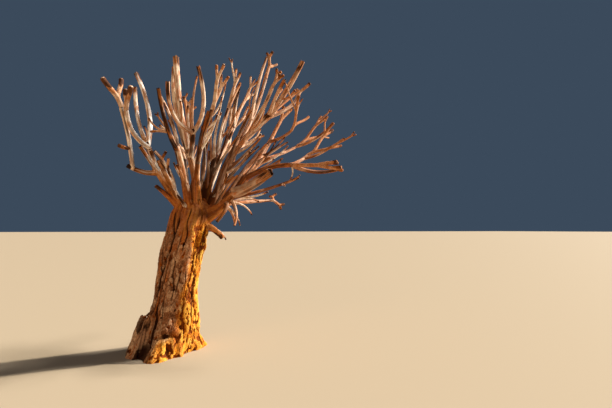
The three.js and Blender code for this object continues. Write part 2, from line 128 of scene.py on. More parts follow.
# Boughs that grow out of the trunk: name, foot inside the trunk, tip, how far the middle stands
# off the straight line, and radii at the foot and the tip
TRUNK_BOUGHS = [
    ("bough_left", (240, -60, 1790), (-180, -120, 2430), (0, 0, 10), (64, 44)),
    ("bough_centre_left", (280, -150, 1820), (90, -300, 2740), (20, 0, -10), (50, 38)),
    ("bough_centre", (390, 0, 1880), (250, -20, 2680), (30, 0, 20), (52, 44)),
    ("bough_mid", (470, 120, 1830), (640, 260, 2610), (-30, 0, 30), (72, 58)),
    ("limb_mid_dark", (410, -150, 1840), (570, -560, 3300), (-95, 0, 20), (38, 30)),
    ("bough_right_up", (530, 40, 1780), (910, 260, 2780), (-10, 0, 10), (62, 50)),
    ("bough_right", (440, -60, 1740), (1060, -200, 2360), (20, 0, -60), (74, 50)),
    ("bough_back", (420, 190, 1820), (700, 760, 2620), (-20, 0, -40), (56, 42)),
    ("bough_back_left", (290, 170, 1820), (200, 640, 2560), (0, 0, -30), (50, 36)),
    ("stub_shoulder", (160, -60, 1870), (-170, -200, 2190), (0, 0, 20), (30, 24)),
    ("stub_orange", (440, -60, 1690), (740, -160, 1480), (0, 0, 30), (36, 27)),
]

# Limbs that grow out of other limbs: name, what carries it, the share of the way along that, tip,
# how far the middle stands off the straight line, and radii
LIMBS = [
    ("limb_left_low", "bough_left", 0.9, (-530, -200, 2450), (0, 0, -35), (33, 26)),
    ("limb_left_outer", "limb_left_low", 0.82, (-610, -280, 3220), (20, 0, -20), (26, 31)),
    ("limb_left_inner", "bough_left", 0.97, (-290, -240, 2750), (15, 0, -15), (38, 34)),
    ("limb_left_lit", "limb_left_inner", 0.9, (-560, -560, 3190), (-50, 0, -40), (32, 30)),
    ("limb_left_tall", "limb_left_inner", 0.94, (-450, 420, 3710), (95, 0, -40), (33, 29)),
    ("limb_left_back", "limb_left_inner", 0.8, (-450, 700, 3510), (-50, 0, -30), (28, 27)),
    ("limb_left_pair", "bough_left", 0.4, (-196, -500, 2668), (85, 0, -5), (27, 20)),
    ("limb_dark", "bough_centre_left", 0.96, (-160, -860, 3540), (-25, 0, -50), (31, 22)),
    ("limb_pale", "bough_centre_left", 0.86, (-140, 480, 3440), (45, 0, 25), (28, 20)),
    ("limb_tall", "bough_centre", 0.93, (60, 240, 4010), (-35, 0, 0), (43, 40)),
    ("limb_y_stem", "bough_centre", 0.9, (310, -240, 2980), (5, 0, -20), (36, 34)),
    ("limb_y_left", "limb_y_stem", 0.95, (-40, -640, 3650), (-85, 0, -110), (30, 25)),
    ("limb_y_right", "limb_y_stem", 0.95, (360, -360, 3920), (105, 0, -70), (31, 26)),
    ("limb_centre_small", "bough_centre", 0.8, (270, 480, 3100), (-10, 0, -40), (30, 26)),
    ("limb_mid_near", "bough_mid", 0.95, (760, 480, 3200), (-10, 0, -10), (40, 33)),
    ("limb_mid_far", "bough_mid", 0.86, (950, 860, 3320), (10, 0, -60), (40, 30)),
    ("limb_fat", "bough_right_up", 0.95, (1440, 160, 3340), (-30, 0, -10), (48, 48)),
    ("limb_thick_end", "limb_fat", 0.97, (1930, -80, 4200), (0, 0, -40), (42, 34)),
    ("limb_right_end", "limb_fat", 0.9, (1850, 440, 3650), (90, 0, -20), (34, 28)),
    ("limb_fork_inner", "limb_fat", 0.93, (1640, -380, 3880), (-10, 0, 10), (32, 25)),
    ("limb_top", "bough_right_up", 0.92, (1340, 760, 3850), (50, 0, -10), (36, 30)),
    ("limb_top_side", "bough_right_up", 0.85, (1440, -380, 3720), (60, 0, 20), (30, 25)),
    ("limb_right_low", "bough_right", 0.96, (1770, -520, 2570), (0, 0, 60), (37, 31)),
    ("limb_right_mid", "limb_right_low", 0.93, (2000, -160, 2730), (0, 0, -20), (26, 24)),
    ("limb_right_up", "bough_right", 0.94, (1450, 380, 2980), (0, 0, -40), (38, 31)),
    ("limb_right_top", "limb_right_up", 0.5, (1860, 640, 2880), (-15, 0, -40), (27, 24)),
    ("limb_right_arch", "limb_right_up", 0.9, (1740, 110, 3090), (10, 0, -25), (26, 22)),
    ("stump_fat", "bough_right", 0.72, (1430, -620, 2460), (-10, 0, -45), (68, 60)),
    ("limb_orange", "bough_right", 0.6, (1870, -420, 2390), (40, 0, -20), (28, 18)),
    ("limb_low", "bough_right", 0.45, (1450, 520, 2030), (0, 60, 10), (30, 22)),
    ("limb_down", "bough_right", 0.5, (650, -380, 1710), (60, -40, 40), (30, 24)),
]

# Masses of bare twigs: the limb whose tip carries the stem, the middle of the furthest tips, the
# stem's share of that way, half-angle and turn of the first fork in degrees, how often the twigs
# fork, and the seed
MASSES = [
    ("limb_left_outer", (-770, -330, 3610), 0.29, 39, 55, 1, 36),
    ("limb_left_lit", (-540, -640, 3490), 0.22, 42, -70, 1, 247),
    ("limb_centre_small", (260, 620, 3420), 0.34, 39, 75, 2, 125),
    ("limb_mid_dark", (720, -760, 3940), 0.1, 21, -120, 2, 85),
    ("limb_mid_near", (940, 640, 3850), 0.1, 10, 75, 2, 102),
    ("limb_mid_far", (1180, 1120, 3770), 0.35, 30, 75, 2, 63),
    ("limb_right_end", (1940, 520, 3800), 0.32, 42, -70, 1, 323),
    ("limb_top", (1440, 900, 4190), 0.57, 42, 55, 2, 350),
    ("limb_top_side", (1580, -480, 4000), 0.36, 36, -70, 2, 116),
    ("limb_right_low", (2580, -820, 2610), 0.48, 13, -25, 2, 361),
    ("limb_right_mid", (2540, -40, 3060), 0.15, 21, -25, 2, 104),
    ("limb_right_up", (1690, 600, 3460), 0.53, 15, -5, 1, 320),
    ("limb_right_top", (2370, 900, 3300), 0.18, 21, 30, 2, 51),
    ("limb_right_arch", (1960, 20, 3490), 0.13, 42, 55, 1, 3),
    ("limb_low", (1540, 760, 2020), 0.11, 36, -40, 2, 346),
    ("bough_back", (1110, 1280, 3170), 0.22, 30, 30, 3, 24),
    ("bough_back_left", (80, 1150, 3060), 0.22, 28, 40, 2, 25),
]

# Thin dead shoots that stand off the limbs: what carries it, the share of the way along that, tip,
# how far the middle stands off the straight line, radii, and finish
SHOOTS = [
    ("limb_left_outer", 0.36, (-640, -300, 2715), (0, 0, -12), (21, 20), "dark"),
    ("bough_left", 0.96, (-42, -170, 2665), (-20, 0, -35), (20, 17), "tan"),
    ("limb_left_pair", 0.45, (-8, -440, 2570), (-25, 0, -30), (17, 16), "dark"),
    ("bough_centre_left", 0.42, (104, -330, 2490), (15, 0, -15), (18, 17), "orange"),
    ("limb_dark", 0.36, (-250, -560, 2925), (0, 0, 12), (17, 13), "tan"),
    ("limb_dark", 0.37, (-270, -440, 3110), (-25, 0, -35), (15, 11), "tan"),
    ("limb_left_back", 0.12, (-330, 120, 2990), (30, 0, 0), (16, 11), "tan"),
    ("limb_tall", 0.5, (225, 190, 3510), (0, 0, -20), (14, 11), "dark"),
    ("limb_tall", 0.14, (182, 120, 3450), (25, 0, 0), (21, 17), "orange"),
    ("limb_pale", 0.4, (-20, 300, 3105), (0, 0, -20), (15, 12), "dark"),
    ("limb_y_stem", 0.97, (352, -180, 3770), (-30, 0, 0), (16, 12), "tan"),
    ("limb_y_stem", 0.7, (300, -90, 3440), (-25, 0, 0), (20, 16), "orange"),
    ("limb_y_stem", 0.5, (235, -60, 3330), (-20, 0, 0), (17, 14), "pale"),
    ("limb_y_left", 0.3, (130, -420, 3390), (20, 0, -10), (15, 12), "tan"),
    ("limb_mid_dark", 0.92, (757, -560, 3755), (35, 0, -60), (15, 9), "pale"),
    ("limb_mid_dark", 0.8, (703, -600, 3510), (45, 0, -50), (14, 8), "pale"),
    ("limb_mid_dark", 0.72, (677, -610, 3360), (30, 0, -40), (13, 8), "pale"),
    ("limb_mid_dark", 0.6, (640, -640, 3240), (20, 0, -30), (16, 11), "pale"),
    ("bough_mid", 0.9, (690, 60, 3280), (-40, 0, 0), (24, 15), "pale"),
    ("bough_mid", 0.8, (560, 420, 3180), (-20, 0, -30), (24, 14), "tan"),
    ("bough_mid", 0.97, (961, 560, 3725), (-70, 0, -30), (26, 20), "tan"),
    ("bough_mid", 0.75, (800, 120, 3080), (20, 0, -50), (20, 12), "dark"),
    ("limb_mid_near", 0.5, (930, 380, 3340), (10, 0, -40), (16, 10), "orange"),
    ("limb_mid_far", 0.5, (1182, 980, 3826), (-60, 0, -80), (20, 12), "tan"),
    ("bough_right_up", 0.9, (1278, -60, 3010), (0, 0, -50), (22, 12), "pale"),
    ("bough_right_up", 0.72, (1234, 140, 2900), (10, 0, -60), (20, 11), "dark"),
    ("bough_right_up", 0.6, (1120, -120, 2740), (10, 0, -60), (22, 12), "pale"),
    ("limb_fat", 0.25, (1300, 330, 3230), (20, 0, -50), (20, 13), "tan"),
    ("limb_fat", 0.5, (1400, -60, 3560), (-50, 0, -20), (20, 15), "pale"),
    ("limb_fat", 0.98, (1600, 330, 3720), (-40, 0, -20), (22, 15), "dark"),
    ("limb_top", 0.45, (1180, 620, 3700), (-60, 0, -10), (18, 12), "tan"),
    ("limb_top_side", 0.4, (1330, -60, 3420), (30, 0, -50), (18, 11), "orange"),
    ("limb_thick_end", 0.35, (1803, -260, 3730), (-10, 0, -60), (19, 15), "orange"),
    ("bough_right", 0.98, (1350, -40, 2690), (0, 0, -20), (24, 15), "tan"),
    ("limb_right_up", 0.3, (1510, 60, 2920), (0, 0, -60), (19, 11), "dark"),
    ("limb_right_up", 0.42, (1694, 120, 2860), (0, 0, -70), (17, 9), "pale"),
    ("limb_right_up", 0.6, (1646, 60, 2990), (0, 0, -50), (15, 9), "dark"),
    ("limb_right_up", 0.2, (1478, -60, 2650), (20, 0, -20), (13, 8), "orange"),
    ("limb_right_low", 0.55, (1585, -420, 2655), (20, 0, -15), (14, 10), "orange"),
    ("limb_right_low", 0.97, (1726, -560, 2345), (30, 0, 0), (13, 8), "pale"),
    ("limb_orange", 0.8, (1884, -480, 2425), (0, 0, -20), (12, 8), "orange"),
    ("limb_orange", 0.72, (1649, -520, 2250), (10, 0, 0), (12, 7), "pale"),
    ("bough_right", 0.66, (1389, -160, 2155), (0, 0, -50), (21, 10), "pale"),
    ("limb_low", 0.12, (1256, 60, 2005), (10, 0, 60), (20, 11), "pale"),
    ("limb_low", 0.97, (1560, 420, 1940), (0, 0, 30), (17, 9), "pale"),
    ("bough_right", 0.5, (1154, 40, 1812), (40, 0, 60), (18, 9), "pale"),
    ("bough_right", 0.42, (912, -60, 1668), (30, 0, 60), (24, 13), "tan"),
    ("limb_down", 0.35, (981, -300, 1655), (30, 0, 20), (14, 8), "pale"),
    ("stub_orange", 0.5, (785, -120, 1455), (20, 0, 30), (14, 8), "pale"),
    ("bough_back", 0.55, (520, 760, 2560), (-20, 0, -60), (22, 13), "tan"),
    ("bough_back", 0.8, (900, 900, 2620), (20, 0, -60), (20, 12), "dark"),
    ("bough_back_left", 0.6, (60, 520, 2520), (0, 0, -50), (20, 12), "pale"),
    ("bough_back_left", 0.85, (360, 760, 2780), (20, 0, -40), (18, 12), "tan"),
]

# Inner limbs that fill the middle of the crown: what carries each, the share of the way along that,
# tip, how far the middle stands off the straight line, radii, tone, and free end
INNER_LIMBS = [
    ("bough_centre_left", 0.02, (118, -330, 2075), (0, 0, 0), (34, 13), 0.98, "torn"),
    ("bough_back_left", 0.1, (244, 330, 2845), (60, 0, 0), (27, 17), 0.2, "torn"),
    ("bough_centre", 0.25, (432, 60, 2930), (70, 0, 0), (27, 18), 0.55, "torn"),
    ("bough_mid", 0.2, (532, 40, 2722), (10, 0, 0), (30, 21), 0.5, "hollow"),
    ("bough_right", 0.3, (913, 250, 2746), (-68, 0, 0), (29, 18), 0.45, "torn"),
    ("bough_right_up", 0.2, (1190, -150, 2764), (-60, 0, -20), (30, 18), 0.7, "torn"),
    ("bough_right", 0.24, (945, -260, 2384), (-20, 0, 30), (26, 17), 0.6, "torn"),
    ("bough_back", 0.3, (860, 560, 3010), (-30, 0, -20), (30, 20), 0.5, "torn"),
    ("bough_back_left", 0.35, (430, 620, 3060), (40, 0, -20), (26, 17), 0.6, "torn"),
    ("bough_right", 0.15, (1420, 40, 2664), (-20, 0, 60), (34, 22), 0.4, "torn"),
    ("bough_mid", 0.12, (1252, 300, 2825), (-50, 0, -30), (27, 15), 0.9, "torn"),
    ("bough_mid", 0.1, (892, -140, 2368), (0, 0, 0), (22, 13), 0.85, "torn"),
    ("bough_right", 0.25, (790, -80, 2400), (10, 0, -10), (24, 16), 0.95, "torn"),
    ("bough_mid", 0.55, (940, 60, 2960), (-20, 0, -20), (27, 16), 0.8, "torn"),
    ("bough_right_up", 0.25, (958, 330, 2927), (-55, 0, 0), (32, 20), 0.55, "torn"),
    ("bough_right_up", 0.6, (1276, -120, 2950), (0, 0, -20), (27, 14), 0.85, "torn"),
    ("bough_centre", 0.75, (555, 80, 3089), (20, 0, -10), (26, 14), 0.75, "torn"),
    ("bough_mid", 0.06, (654, 440, 2720), (-30, 0, -20), (32, 22), 0.25, "torn"),
    ("bough_right", 0.45, (1370, 250, 2850), (-35, 0, 15), (46, 32), 0.35, "torn"),
    ("bough_right_up", 0.75, (1126, 100, 3354), (-15, 0, 10), (36, 24), 0.6, "torn"),
    ("bough_centre", 0.95, (45, 330, 3860), (-78, 0, 0), (36, 33), 0.9, "hollow"),
    ("limb_mid_dark", 0.48, (524, -330, 3282), (-25, 0, 0), (31, 24), 0.2, "torn"),
    ("bough_back", 0.2, (516, 200, 2850), (-45, 0, 0), (30, 21), 0.5, "torn"),
    ("limb_mid_near", 0.1, (791, 300, 3351), (-22, 0, 0), (23, 15), 0.75, "torn"),
    ("limb_mid_far", 0.72, (946, 700, 3679), (-20, 0, 0), (38, 27), 0.6, "torn"),
    ("limb_top", 0.42, (1362, 800, 4186), (-30, 0, 0), (33, 23), 0.75, "torn"),
    ("limb_fat", 0.97, (1867, 300, 3721), (0, 0, 12), (31, 21), 0.7, "torn"),
    ("bough_left", 0.2, (-143, -260, 2542), (15, 0, 0), (47, 30), 0.35, "torn"),
    ("bough_left", 0.88, (-374, -310, 2719), (0, 0, 0), (32, 25), 0.5, "torn"),
    ("bough_right_up", 0.6, (1190, 60, 2853), (0, 0, -12), (27, 17), 0.85, "torn"),
    ("limb_right_up", 0.4, (1693, 60, 2917), (0, 0, 15), (21, 13), 0.85, "torn"),
    ("limb_right_top", 0.97, (2445, 560, 3272), (0, 0, -70), (25, 21), 0.35, "torn"),
    ("limb_right_mid", 0.8, (2410, -200, 2904), (0, 0, -35), (23, 18), 0.4, "torn"),
    ("limb_right_low", 0.97, (2578, -560, 2565), (0, 0, -78), (29, 22), 0.4, "torn"),
    ("limb_right_low", 0.2, (1616, -420, 2669), (0, 0, -10), (19, 12), 0.7, "torn"),
    ("bough_right", 0.6, (896, -420, 1650), (60, 0, 0), (27, 14), 0.7, "torn"),
]


# Growth


def unit(vectors):
    """The same directions at length one."""
    return vectors / np.linalg.norm(vectors, axis=-1, keepdims=True)


def turned(vector, axis, angle):
    """The vector turned about a unit axis: its part along the axis, plus the rest times the cosine
    and the cross product times the sine."""
    along = axis * (vector @ axis)
    return along + (vector - along) * math.cos(angle) + np.cross(axis, vector) * math.sin(angle)


def sighted(place):
    """A place measured across and up in the plane through the foot, moved back along its line of
    sight by the ratio of the distances from the eye."""
    across, back, up = np.array(place) * MM
    scale = 1 + back / EYE_DISTANCE
    return np.array([across * scale, back, EYE_UP + (up - EYE_UP) * scale])


def seeded(seed):
    """Draws from 0 to 1 that a seed fixes: the fraction left of a large, fast sine wave."""
    count = itertools.count(seed * SEED_STEP + 1)

    def draw():
        value = math.sin(next(count) * WAVE_RATE) * WAVE_SIZE
        return value - math.floor(value)

    return draw


class Branch:
    """A tapering limb or twig on a Bezier curve, with the looks that its skin takes."""

    def __init__(self, controls, radii, taper=1.0, collar=NO_COLLAR, steps=TWIG_STEPS):
        self.controls = np.array(controls)
        self.radii = radii
        self.taper = taper
        self.collar = collar
        self.steps = steps
        self.length = np.linalg.norm(self.controls[-1] - self.controls[0])
        self.end = "open"
        self.tone = PLAIN_TONE
        self.burnt = 0.0
        self.charred_and_shaded = 0.0

    @property
    def is_bough(self):
        """True if the branch grows out of the trunk."""
        return self.collar == COLLAR_ON_TRUNK

    @property
    def is_free(self):
        """True if the tip shows, with nothing that grows on from it."""
        return self.end != "open"

    def point(self, share):
        """Bernstein sum of the control points."""
        share = np.asarray(share, float)[..., None]
        degree = len(self.controls) - 1
        total = 0
        for k, control in enumerate(self.controls):
            total = total + math.comb(degree, k) * share**k * (1 - share) ** (degree - k) * control
        return total

    def heading(self, share):
        """Direction between two points just before and after that share."""
        share = np.asarray(share, float)
        before = np.clip(share - HEADING_STEP, 0, 1)
        after = np.clip(share + HEADING_STEP, 0, 1)
        return unit(self.point(after) - self.point(before))

    def radius(self, share):
        """The radii joined by a power curve, plus a collar that dies away from the foot."""
        foot, tip = self.radii
        share = np.asarray(share, float)
        collar = self.collar[0] * foot * np.exp(-share * self.length / self.collar[1])
        return tip + (foot - tip) * (1 - share) ** self.taper + collar

    def shortened(self, share):
        """Cuts the branch off at that share of its way: the controls blended in pairs, again and
        again, and the first of each round kept."""
        controls = self.controls
        kept = [controls[0]]
        while len(controls) > 1:
            controls = controls[:-1] * (1 - share) + controls[1:] * share
            kept.append(controls[0])
        self.controls = np.array(kept)
        self.length = np.linalg.norm(self.controls[-1] - self.controls[0])

    def axes(self, share):
        """Two directions square to the heading: the first also square to +Y, or to +X on a limb that
        runs nearly straight back."""
        heading = self.heading(share)
        chord = unit(self.controls[-1] - self.controls[0])
        reference = BACK if abs(chord[1]) < NEARLY_BACK else np.array([1.0, 0.0, 0.0])
        side = unit(np.cross(reference, heading))
        return side, np.cross(heading, side)


class Obstacles:
    """Straight stretches of branches with their girth, which new twigs keep clear of."""

    def __init__(self):
        self.starts = np.zeros((0, 3))
        self.ends = np.zeros((0, 3))
        self.girths = np.zeros(0)

    def add(self, branch):
        """Keeps the branch's stretches, each as thick as its thicker end."""
        shares = np.linspace(0, 1, branch.steps + 1)
        points = branch.point(shares)
        girths = branch.radius(shares)
        self.starts = np.vstack([self.starts, points[:-1]])
        self.ends = np.vstack([self.ends, points[1:]])
        self.girths = np.append(self.girths, np.maximum(girths[:-1], girths[1:]))

    def clears(self, branch, low=0.0):
        """True if no point of the branch past `low` comes within the clearance of any stretch."""
        shares = np.linspace(0, 1, branch.steps + 1)
        corners = branch.point(shares)
        girths = branch.radius(shares)
        run = self.ends - self.starts
        squared = (run**2).sum(1)
        for step in range(branch.steps):
            girth = max(girths[step], girths[step + 1])
            for part in np.linspace(0, 1, TESTS_PER_STRETCH):
                if (step + part) / branch.steps < low:
                    continue
                point = corners[step] + (corners[step + 1] - corners[step]) * part
                share = np.clip(((point - self.starts) * run).sum(1) / squared, 0, 1)
                gap = np.linalg.norm(point - self.starts - run * share[:, None], axis=1)
                if np.any(gap <= girth + self.girths + TWIG_CLEARANCE):
                    return False
        return True


def make_limb(foot, tip, bend, radii, collar):
    """A quadratic Bezier curve whose middle control stands off the chord by twice the bend."""
    middle = (foot + tip) / 2 + 2 * np.array(bend) * MM
    chord = np.linalg.norm(tip - foot)
    steps = max(LIMB_LEAST_STEPS, math.floor(chord / LIMB_STEP + 0.5))
    return Branch([foot, middle, tip], np.array(radii) * MM, LIMB_TAPER, collar, steps)


def make_twig(start, heading, way, toward, length, radii):
    """A cubic Bezier curve that leaves along the heading, swings out and recovers."""
    controls = [
        start,
        start + heading * ARM_START * length,
        start + way * ARM_SWING * length,
        start + way * ARM_WAY * length + toward * ARM_RECOVERY * length,
    ]
    return Branch(controls, np.array(radii))


def grow_mass(carrier, place, stem_share, first_spread, first_turn, forks, seed, obstacles):
    """The twigs of one mass. A stem grows on from the limb's tip and forks again and again. An arm
    that would leave the mass's space or touch a limb is turned about its parent, and else skipped."""
    draw = seeded(seed)
    heading = carrier.heading(1)
    base = carrier.point(1) + heading * JOINT_GAP
    aim = sighted(place)
    reach = np.linalg.norm(aim - base)
    toward = (aim - base) / reach
    spreads = [math.radians(first_spread * SPREAD_RATIO**level) for level in range(forks)]
    ahead_sum = sum(ARM_LENGTH_RATIO**level * math.cos(spreads[level]) for level in range(forks))
    stem_radius = float(carrier.radius(1))
    stem_length = max(reach * stem_share, STEM_LEAST * stem_radius)
    arm_length = (reach - stem_length) / ahead_sum

    def varied(value, spread):
        """The value plus a draw of up to half the spread either way."""
        return value + spread * (draw() - 0.5)

    def thinned(level):
        """Girth that falls evenly with each fork, from the stem's to the tips'."""
        return stem_radius + (TWIG_TIP_RADIUS - stem_radius) * level / (forks + 1)

    def is_in_space(arm):
        """True if the arm's tip is above the ground and near the line that the mass follows."""
        tip = arm.point(1)
        nearest = base + toward * np.clip((tip - base) @ toward, 0, reach)
        return np.linalg.norm(tip - nearest) < SPACE_SHARE * reach + TWIG_TIP_RADIUS and tip[2] > 0

    def fork(parent, plane, level):
        """Two arms that open from the parent's tip to both sides in a plane, and their own forks."""
        ahead = parent.heading(1)
        opening_side = unit(plane - ahead * (plane @ ahead))
        root = parent.point(1) - ahead * ARM_ROOT * thinned(level)
        radii = [thinned(level + 1 - ARM_THICKENING), thinned(level + 1)]
        for hand in (-1, 1):
            length = arm_length * ARM_LENGTH_RATIO**level * varied(1, ARM_LENGTH_SPREAD)
            opening = spreads[level] * varied(1, OPENING_SPREAD)
            next_turn = math.radians(varied(NEXT_FORK_TURN, ROLL_SPREAD))
            for turn in ROLL_TRIES:
                side = turned(opening_side, ahead, math.radians(turn))
                way = ahead * math.cos(opening) + side * hand * math.sin(opening)
                arm = make_twig(root, ahead, way, toward, length, radii)
                if is_in_space(arm) and obstacles.clears(arm):
                    parent.end = "open"
                    arm.end = "blunt"
                    twigs.append(arm)
                    if level + 1 < forks:
                        fork(arm, turned(side, ahead, next_turn), level + 1)
                    break

    stem = make_twig(
        base, heading, toward, toward, stem_length, [thinned(0), thinned(STEM_THINNING)]
    )
    stem.end = "blunt"
    twigs = [stem]
    stem_end = stem.heading(1)
    fork(stem, turned(unit(np.cross(BACK, stem_end)), stem_end, math.radians(first_turn)), 0)
    return twigs


# Finer arms off the blunt twigs of a mass: where they leave, how far they open, their length and
# girth beside their parent's, and the pair of short fingers at their tips
FINE_PLACE = (0.05, 0.6)
FINE_OPENING = (20, 36)
FINE_LENGTH = (0.55, 0.9)
FINE_LONGEST = 0.5
FINE_GIRTH = 0.8
FINE_TIP_GIRTH = 0.75
FINE_LIFT = 0.35
FINE_CLEAR_FROM = 0.45
FINGER_LENGTH = (0.06, 0.13)
FINGER_OPENING = 22
FINGER_OPENING_SHARE = (0.8, 1.3)
FINGER_GIRTHS = (0.95, 0.85)
BOX_MARGIN = 0.03


def is_in_box(point):
    """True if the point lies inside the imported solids' box, by a margin."""
    low, high = (np.array(corner) for corner in CAD_BOX)
    return bool(np.all(point > low + BOX_MARGIN) and np.all(point < high - BOX_MARGIN))


def between(limits, draw):
    """A draw from the low limit to the high one."""
    low, high = limits
    return low + (high - low) * draw()


def grow_fingers(arm, draw, obstacles):
    """A pair of short twigs that open to both sides of the arm's tip, in a plane turned at random."""
    ahead = arm.heading(1)
    first, second = arm.axes(1)
    bearing = draw() * 2 * math.pi
    side = first * math.cos(bearing) + second * math.sin(bearing)
    girth = float(arm.radius(1))
    root = arm.point(1) - ahead * ARM_ROOT * girth
    radii = [girth * share for share in FINGER_GIRTHS]
    fingers = []
    for hand in (-1, 1):
        opening = math.radians(FINGER_OPENING * between(FINGER_OPENING_SHARE, draw))
        way = ahead * math.cos(opening) + side * hand * math.sin(opening)
        finger = make_twig(root, ahead, way, ahead, between(FINGER_LENGTH, draw), radii)
        if is_in_box(finger.point(1)) and obstacles.clears(finger):
            finger.end = "blunt"
            fingers.append(finger)
    return fingers


def end_in_fingers(twig, draw, obstacles):
    """Cuts a twig short and lets a pair of fingers reach as far as it did, unless they have no
    room."""
    whole = twig.controls, twig.length
    twig.shortened(1 - FINGER_LENGTH[1] / twig.length)
    fingers = grow_fingers(twig, draw, obstacles)
    if fingers:
        twig.end = "open"
    else:
        twig.controls, twig.length = whole
    return fingers


def grow_finer(parent, draw, obstacles):
    """A finer arm that opens from a branch and lifts towards the sky, with fingers at its tip. One
    that would leave the tree's box or touch a limb is turned about the branch, and else skipped."""
    share = between(FINE_PLACE, draw)
    root = parent.point(share)
    ahead = parent.heading(share)
    first, second = parent.axes(share)
    opening = math.radians(between(FINE_OPENING, draw))
    length = min(parent.length * between(FINE_LENGTH, draw), FINE_LONGEST)
    girth = float(parent.radius(share)) * FINE_GIRTH
    lifted = unit(ahead + UP * FINE_LIFT)
    start_turn = draw() * 360
    for turn in ROLL_TRIES:
        bearing = math.radians(start_turn + turn)
        side = first * math.cos(bearing) + second * math.sin(bearing)
        way = ahead * math.cos(opening) + side * math.sin(opening)
        radii = [girth, girth * FINE_TIP_GIRTH]
        arm = make_twig(root, unit(ahead + way), way, lifted, length, radii)
        if is_in_box(arm.point(1)) and obstacles.clears(arm, FINE_CLEAR_FROM):
            fingers = grow_fingers(arm, draw, obstacles)
            arm.end = "open" if fingers else "blunt"
            for twig in [arm, *fingers]:
                obstacles.add(twig)
            return [arm, *fingers]
    return []


# Numpy surfaces

# Cells of bark: how far their centres stray, and a distance past any of them, in cells
CELL_SCATTER = 0.42
FAR_AWAY = 9.0


def lattice_values(corner, seed):
    """One number from -1 to 1 for each whole-number place, mixed by large odd factors."""
    mixed = corner[..., 0] * 73856093 + corner[..., 1] * 19349663 + corner[..., 2] * 83492791
    mixed = (mixed + seed * 49979687) & 0xFFFFFFFF
    mixed = ((mixed ^ (mixed >> 15)) * 2246822519) & 0xFFFFFFFF
    mixed = ((mixed ^ (mixed >> 13)) * 3266489917) & 0xFFFFFFFF
    return ((mixed ^ (mixed >> 16)) & 0xFFFF) / 32767.5 - 1


def noise(points, size, seed=0):
    """Smooth noise from -1 to 1: the values at the eight lattice corners round each point, blended by
    the cubic 3t^2 - 2t^3. `size` is the lattice's spacing, or one spacing for each direction."""
    scaled = points / np.asarray(size)
    floor = np.floor(scaled)
    corner = floor.astype(np.int64)
    blend = scaled - floor
    blend = blend * blend * (3 - 2 * blend)
    total = np.zeros(len(points))
    for step in itertools.product((0, 1), repeat=3):
        weight = np.prod(np.where(step, blend, 1 - blend), axis=1)
        total += weight * lattice_values(corner + np.array(step), seed)
    return total


def fractal(points, size, octaves, seed=0):
    """Noise summed at halving sizes and halving strengths, about -1 to 1."""
    total = 0
    for octave in range(octaves):
        total = total + noise(points, np.asarray(size) / 2**octave, seed + octave) / 2**octave
    return total / (2 - 2 ** (1 - octaves))


def plates(points, size, seed=0):
    """Cells round one scattered centre per lattice cell. Gives each point's depth inside its cell,
    which is 0 on the joint between two cells, a number from -1 to 1 for its cell, and its place
    from the cell's centre."""
    scaled = points / np.asarray(size)
    corner = np.floor(scaled).astype(np.int64)
    nearest = np.full(len(points), FAR_AWAY)
    second = np.full(len(points), FAR_AWAY)
    value = np.zeros(len(points))
    offset = np.zeros_like(points)
    for step in itertools.product((-1, 0, 1), repeat=3):
        cell = corner + np.array(step)
        scatter = np.stack([lattice_values(cell, seed + axis) for axis in (1, 2, 3)], axis=1)
        away = scaled - (cell + 0.5 + CELL_SCATTER * scatter)
        distance = np.linalg.norm(away, axis=1)
        closer = distance < nearest
        second = np.where(closer, nearest, np.minimum(second, distance))
        nearest = np.where(closer, distance, nearest)
        value = np.where(closer, lattice_values(cell, seed), value)
        offset = np.where(closer[:, None], away, offset)
    return second - nearest, value, offset


def ramp(value, low, high):
    """0 below `low`, 1 above `high`, and the cubic 3t^2 - 2t^3 between."""
    share = np.clip((value - low) / (high - low), 0, 1)
    return share * share * (3 - 2 * share)


def bump(value, middle, half):
    """A bell curve that is 1 at the middle and about a third at the half-width."""
    return np.exp(-(((value - middle) / half) ** 2))


def shell(rings):
    """Closed surface through rings of points (rows, sides, 3) that turn anticlockwise about the way
    they follow, each end closed by a fan round its middle."""
    rows, sides, _ = rings.shape
    here = np.arange(rows * sides).reshape(rows, sides)
    beside = np.roll(here, -1, axis=1)
    quads = np.stack([here[:-1], beside[:-1], beside[1:], here[1:]], axis=-1).reshape(-1, 4)
    first = np.full(sides, rows * sides)
    fan_low = np.stack([first, beside[0], here[0]], axis=-1)
    fan_high = np.stack([first + 1, here[-1], beside[-1]], axis=-1)
    points = np.vstack([rings.reshape(-1, 3), rings[0].mean(0), rings[-1].mean(0)])
    return points, quads, np.vstack([fan_low, fan_high])


def joined(shells):
    """Several shells as one set of points, quads and triangles, each face's corners counted on from
    the points of the shells before it."""
    counts = np.cumsum([0] + [len(points) for points, _, _ in shells[:-1]])
    return (
        np.vstack([points for points, _, _ in shells]),
        np.vstack([quads + count for (_, quads, _), count in zip(shells, counts)]),
        np.vstack([triangles + count for (_, _, triangles), count in zip(shells, counts)]),
    )


def mesh_object(name, points, quads, triangles):
    """A smooth-shaded mesh object, its points and corners set as whole arrays: first the quads' four
    corners each, then the triangles' three."""
    mesh = bpy.data.meshes.new(name)
    mesh.vertices.add(len(points))
    mesh.vertices.foreach_set("co", np.ascontiguousarray(points, np.float32).ravel())
    corners = np.concatenate([quads.ravel(), triangles.ravel()]).astype(np.int32)
    mesh.loops.add(len(corners))
    mesh.loops.foreach_set("vertex_index", corners)
    starts = np.concatenate([np.arange(len(quads)) * 4, quads.size + np.arange(len(triangles)) * 3])
    mesh.polygons.add(len(starts))
    mesh.polygons.foreach_set("loop_start", starts.astype(np.int32))
    mesh.update(calc_edges=True)
    mesh.validate()
    mesh.shade_smooth()
    piece = bpy.data.objects.new(name, mesh)
    bpy.context.scene.collection.objects.link(piece)
    return piece


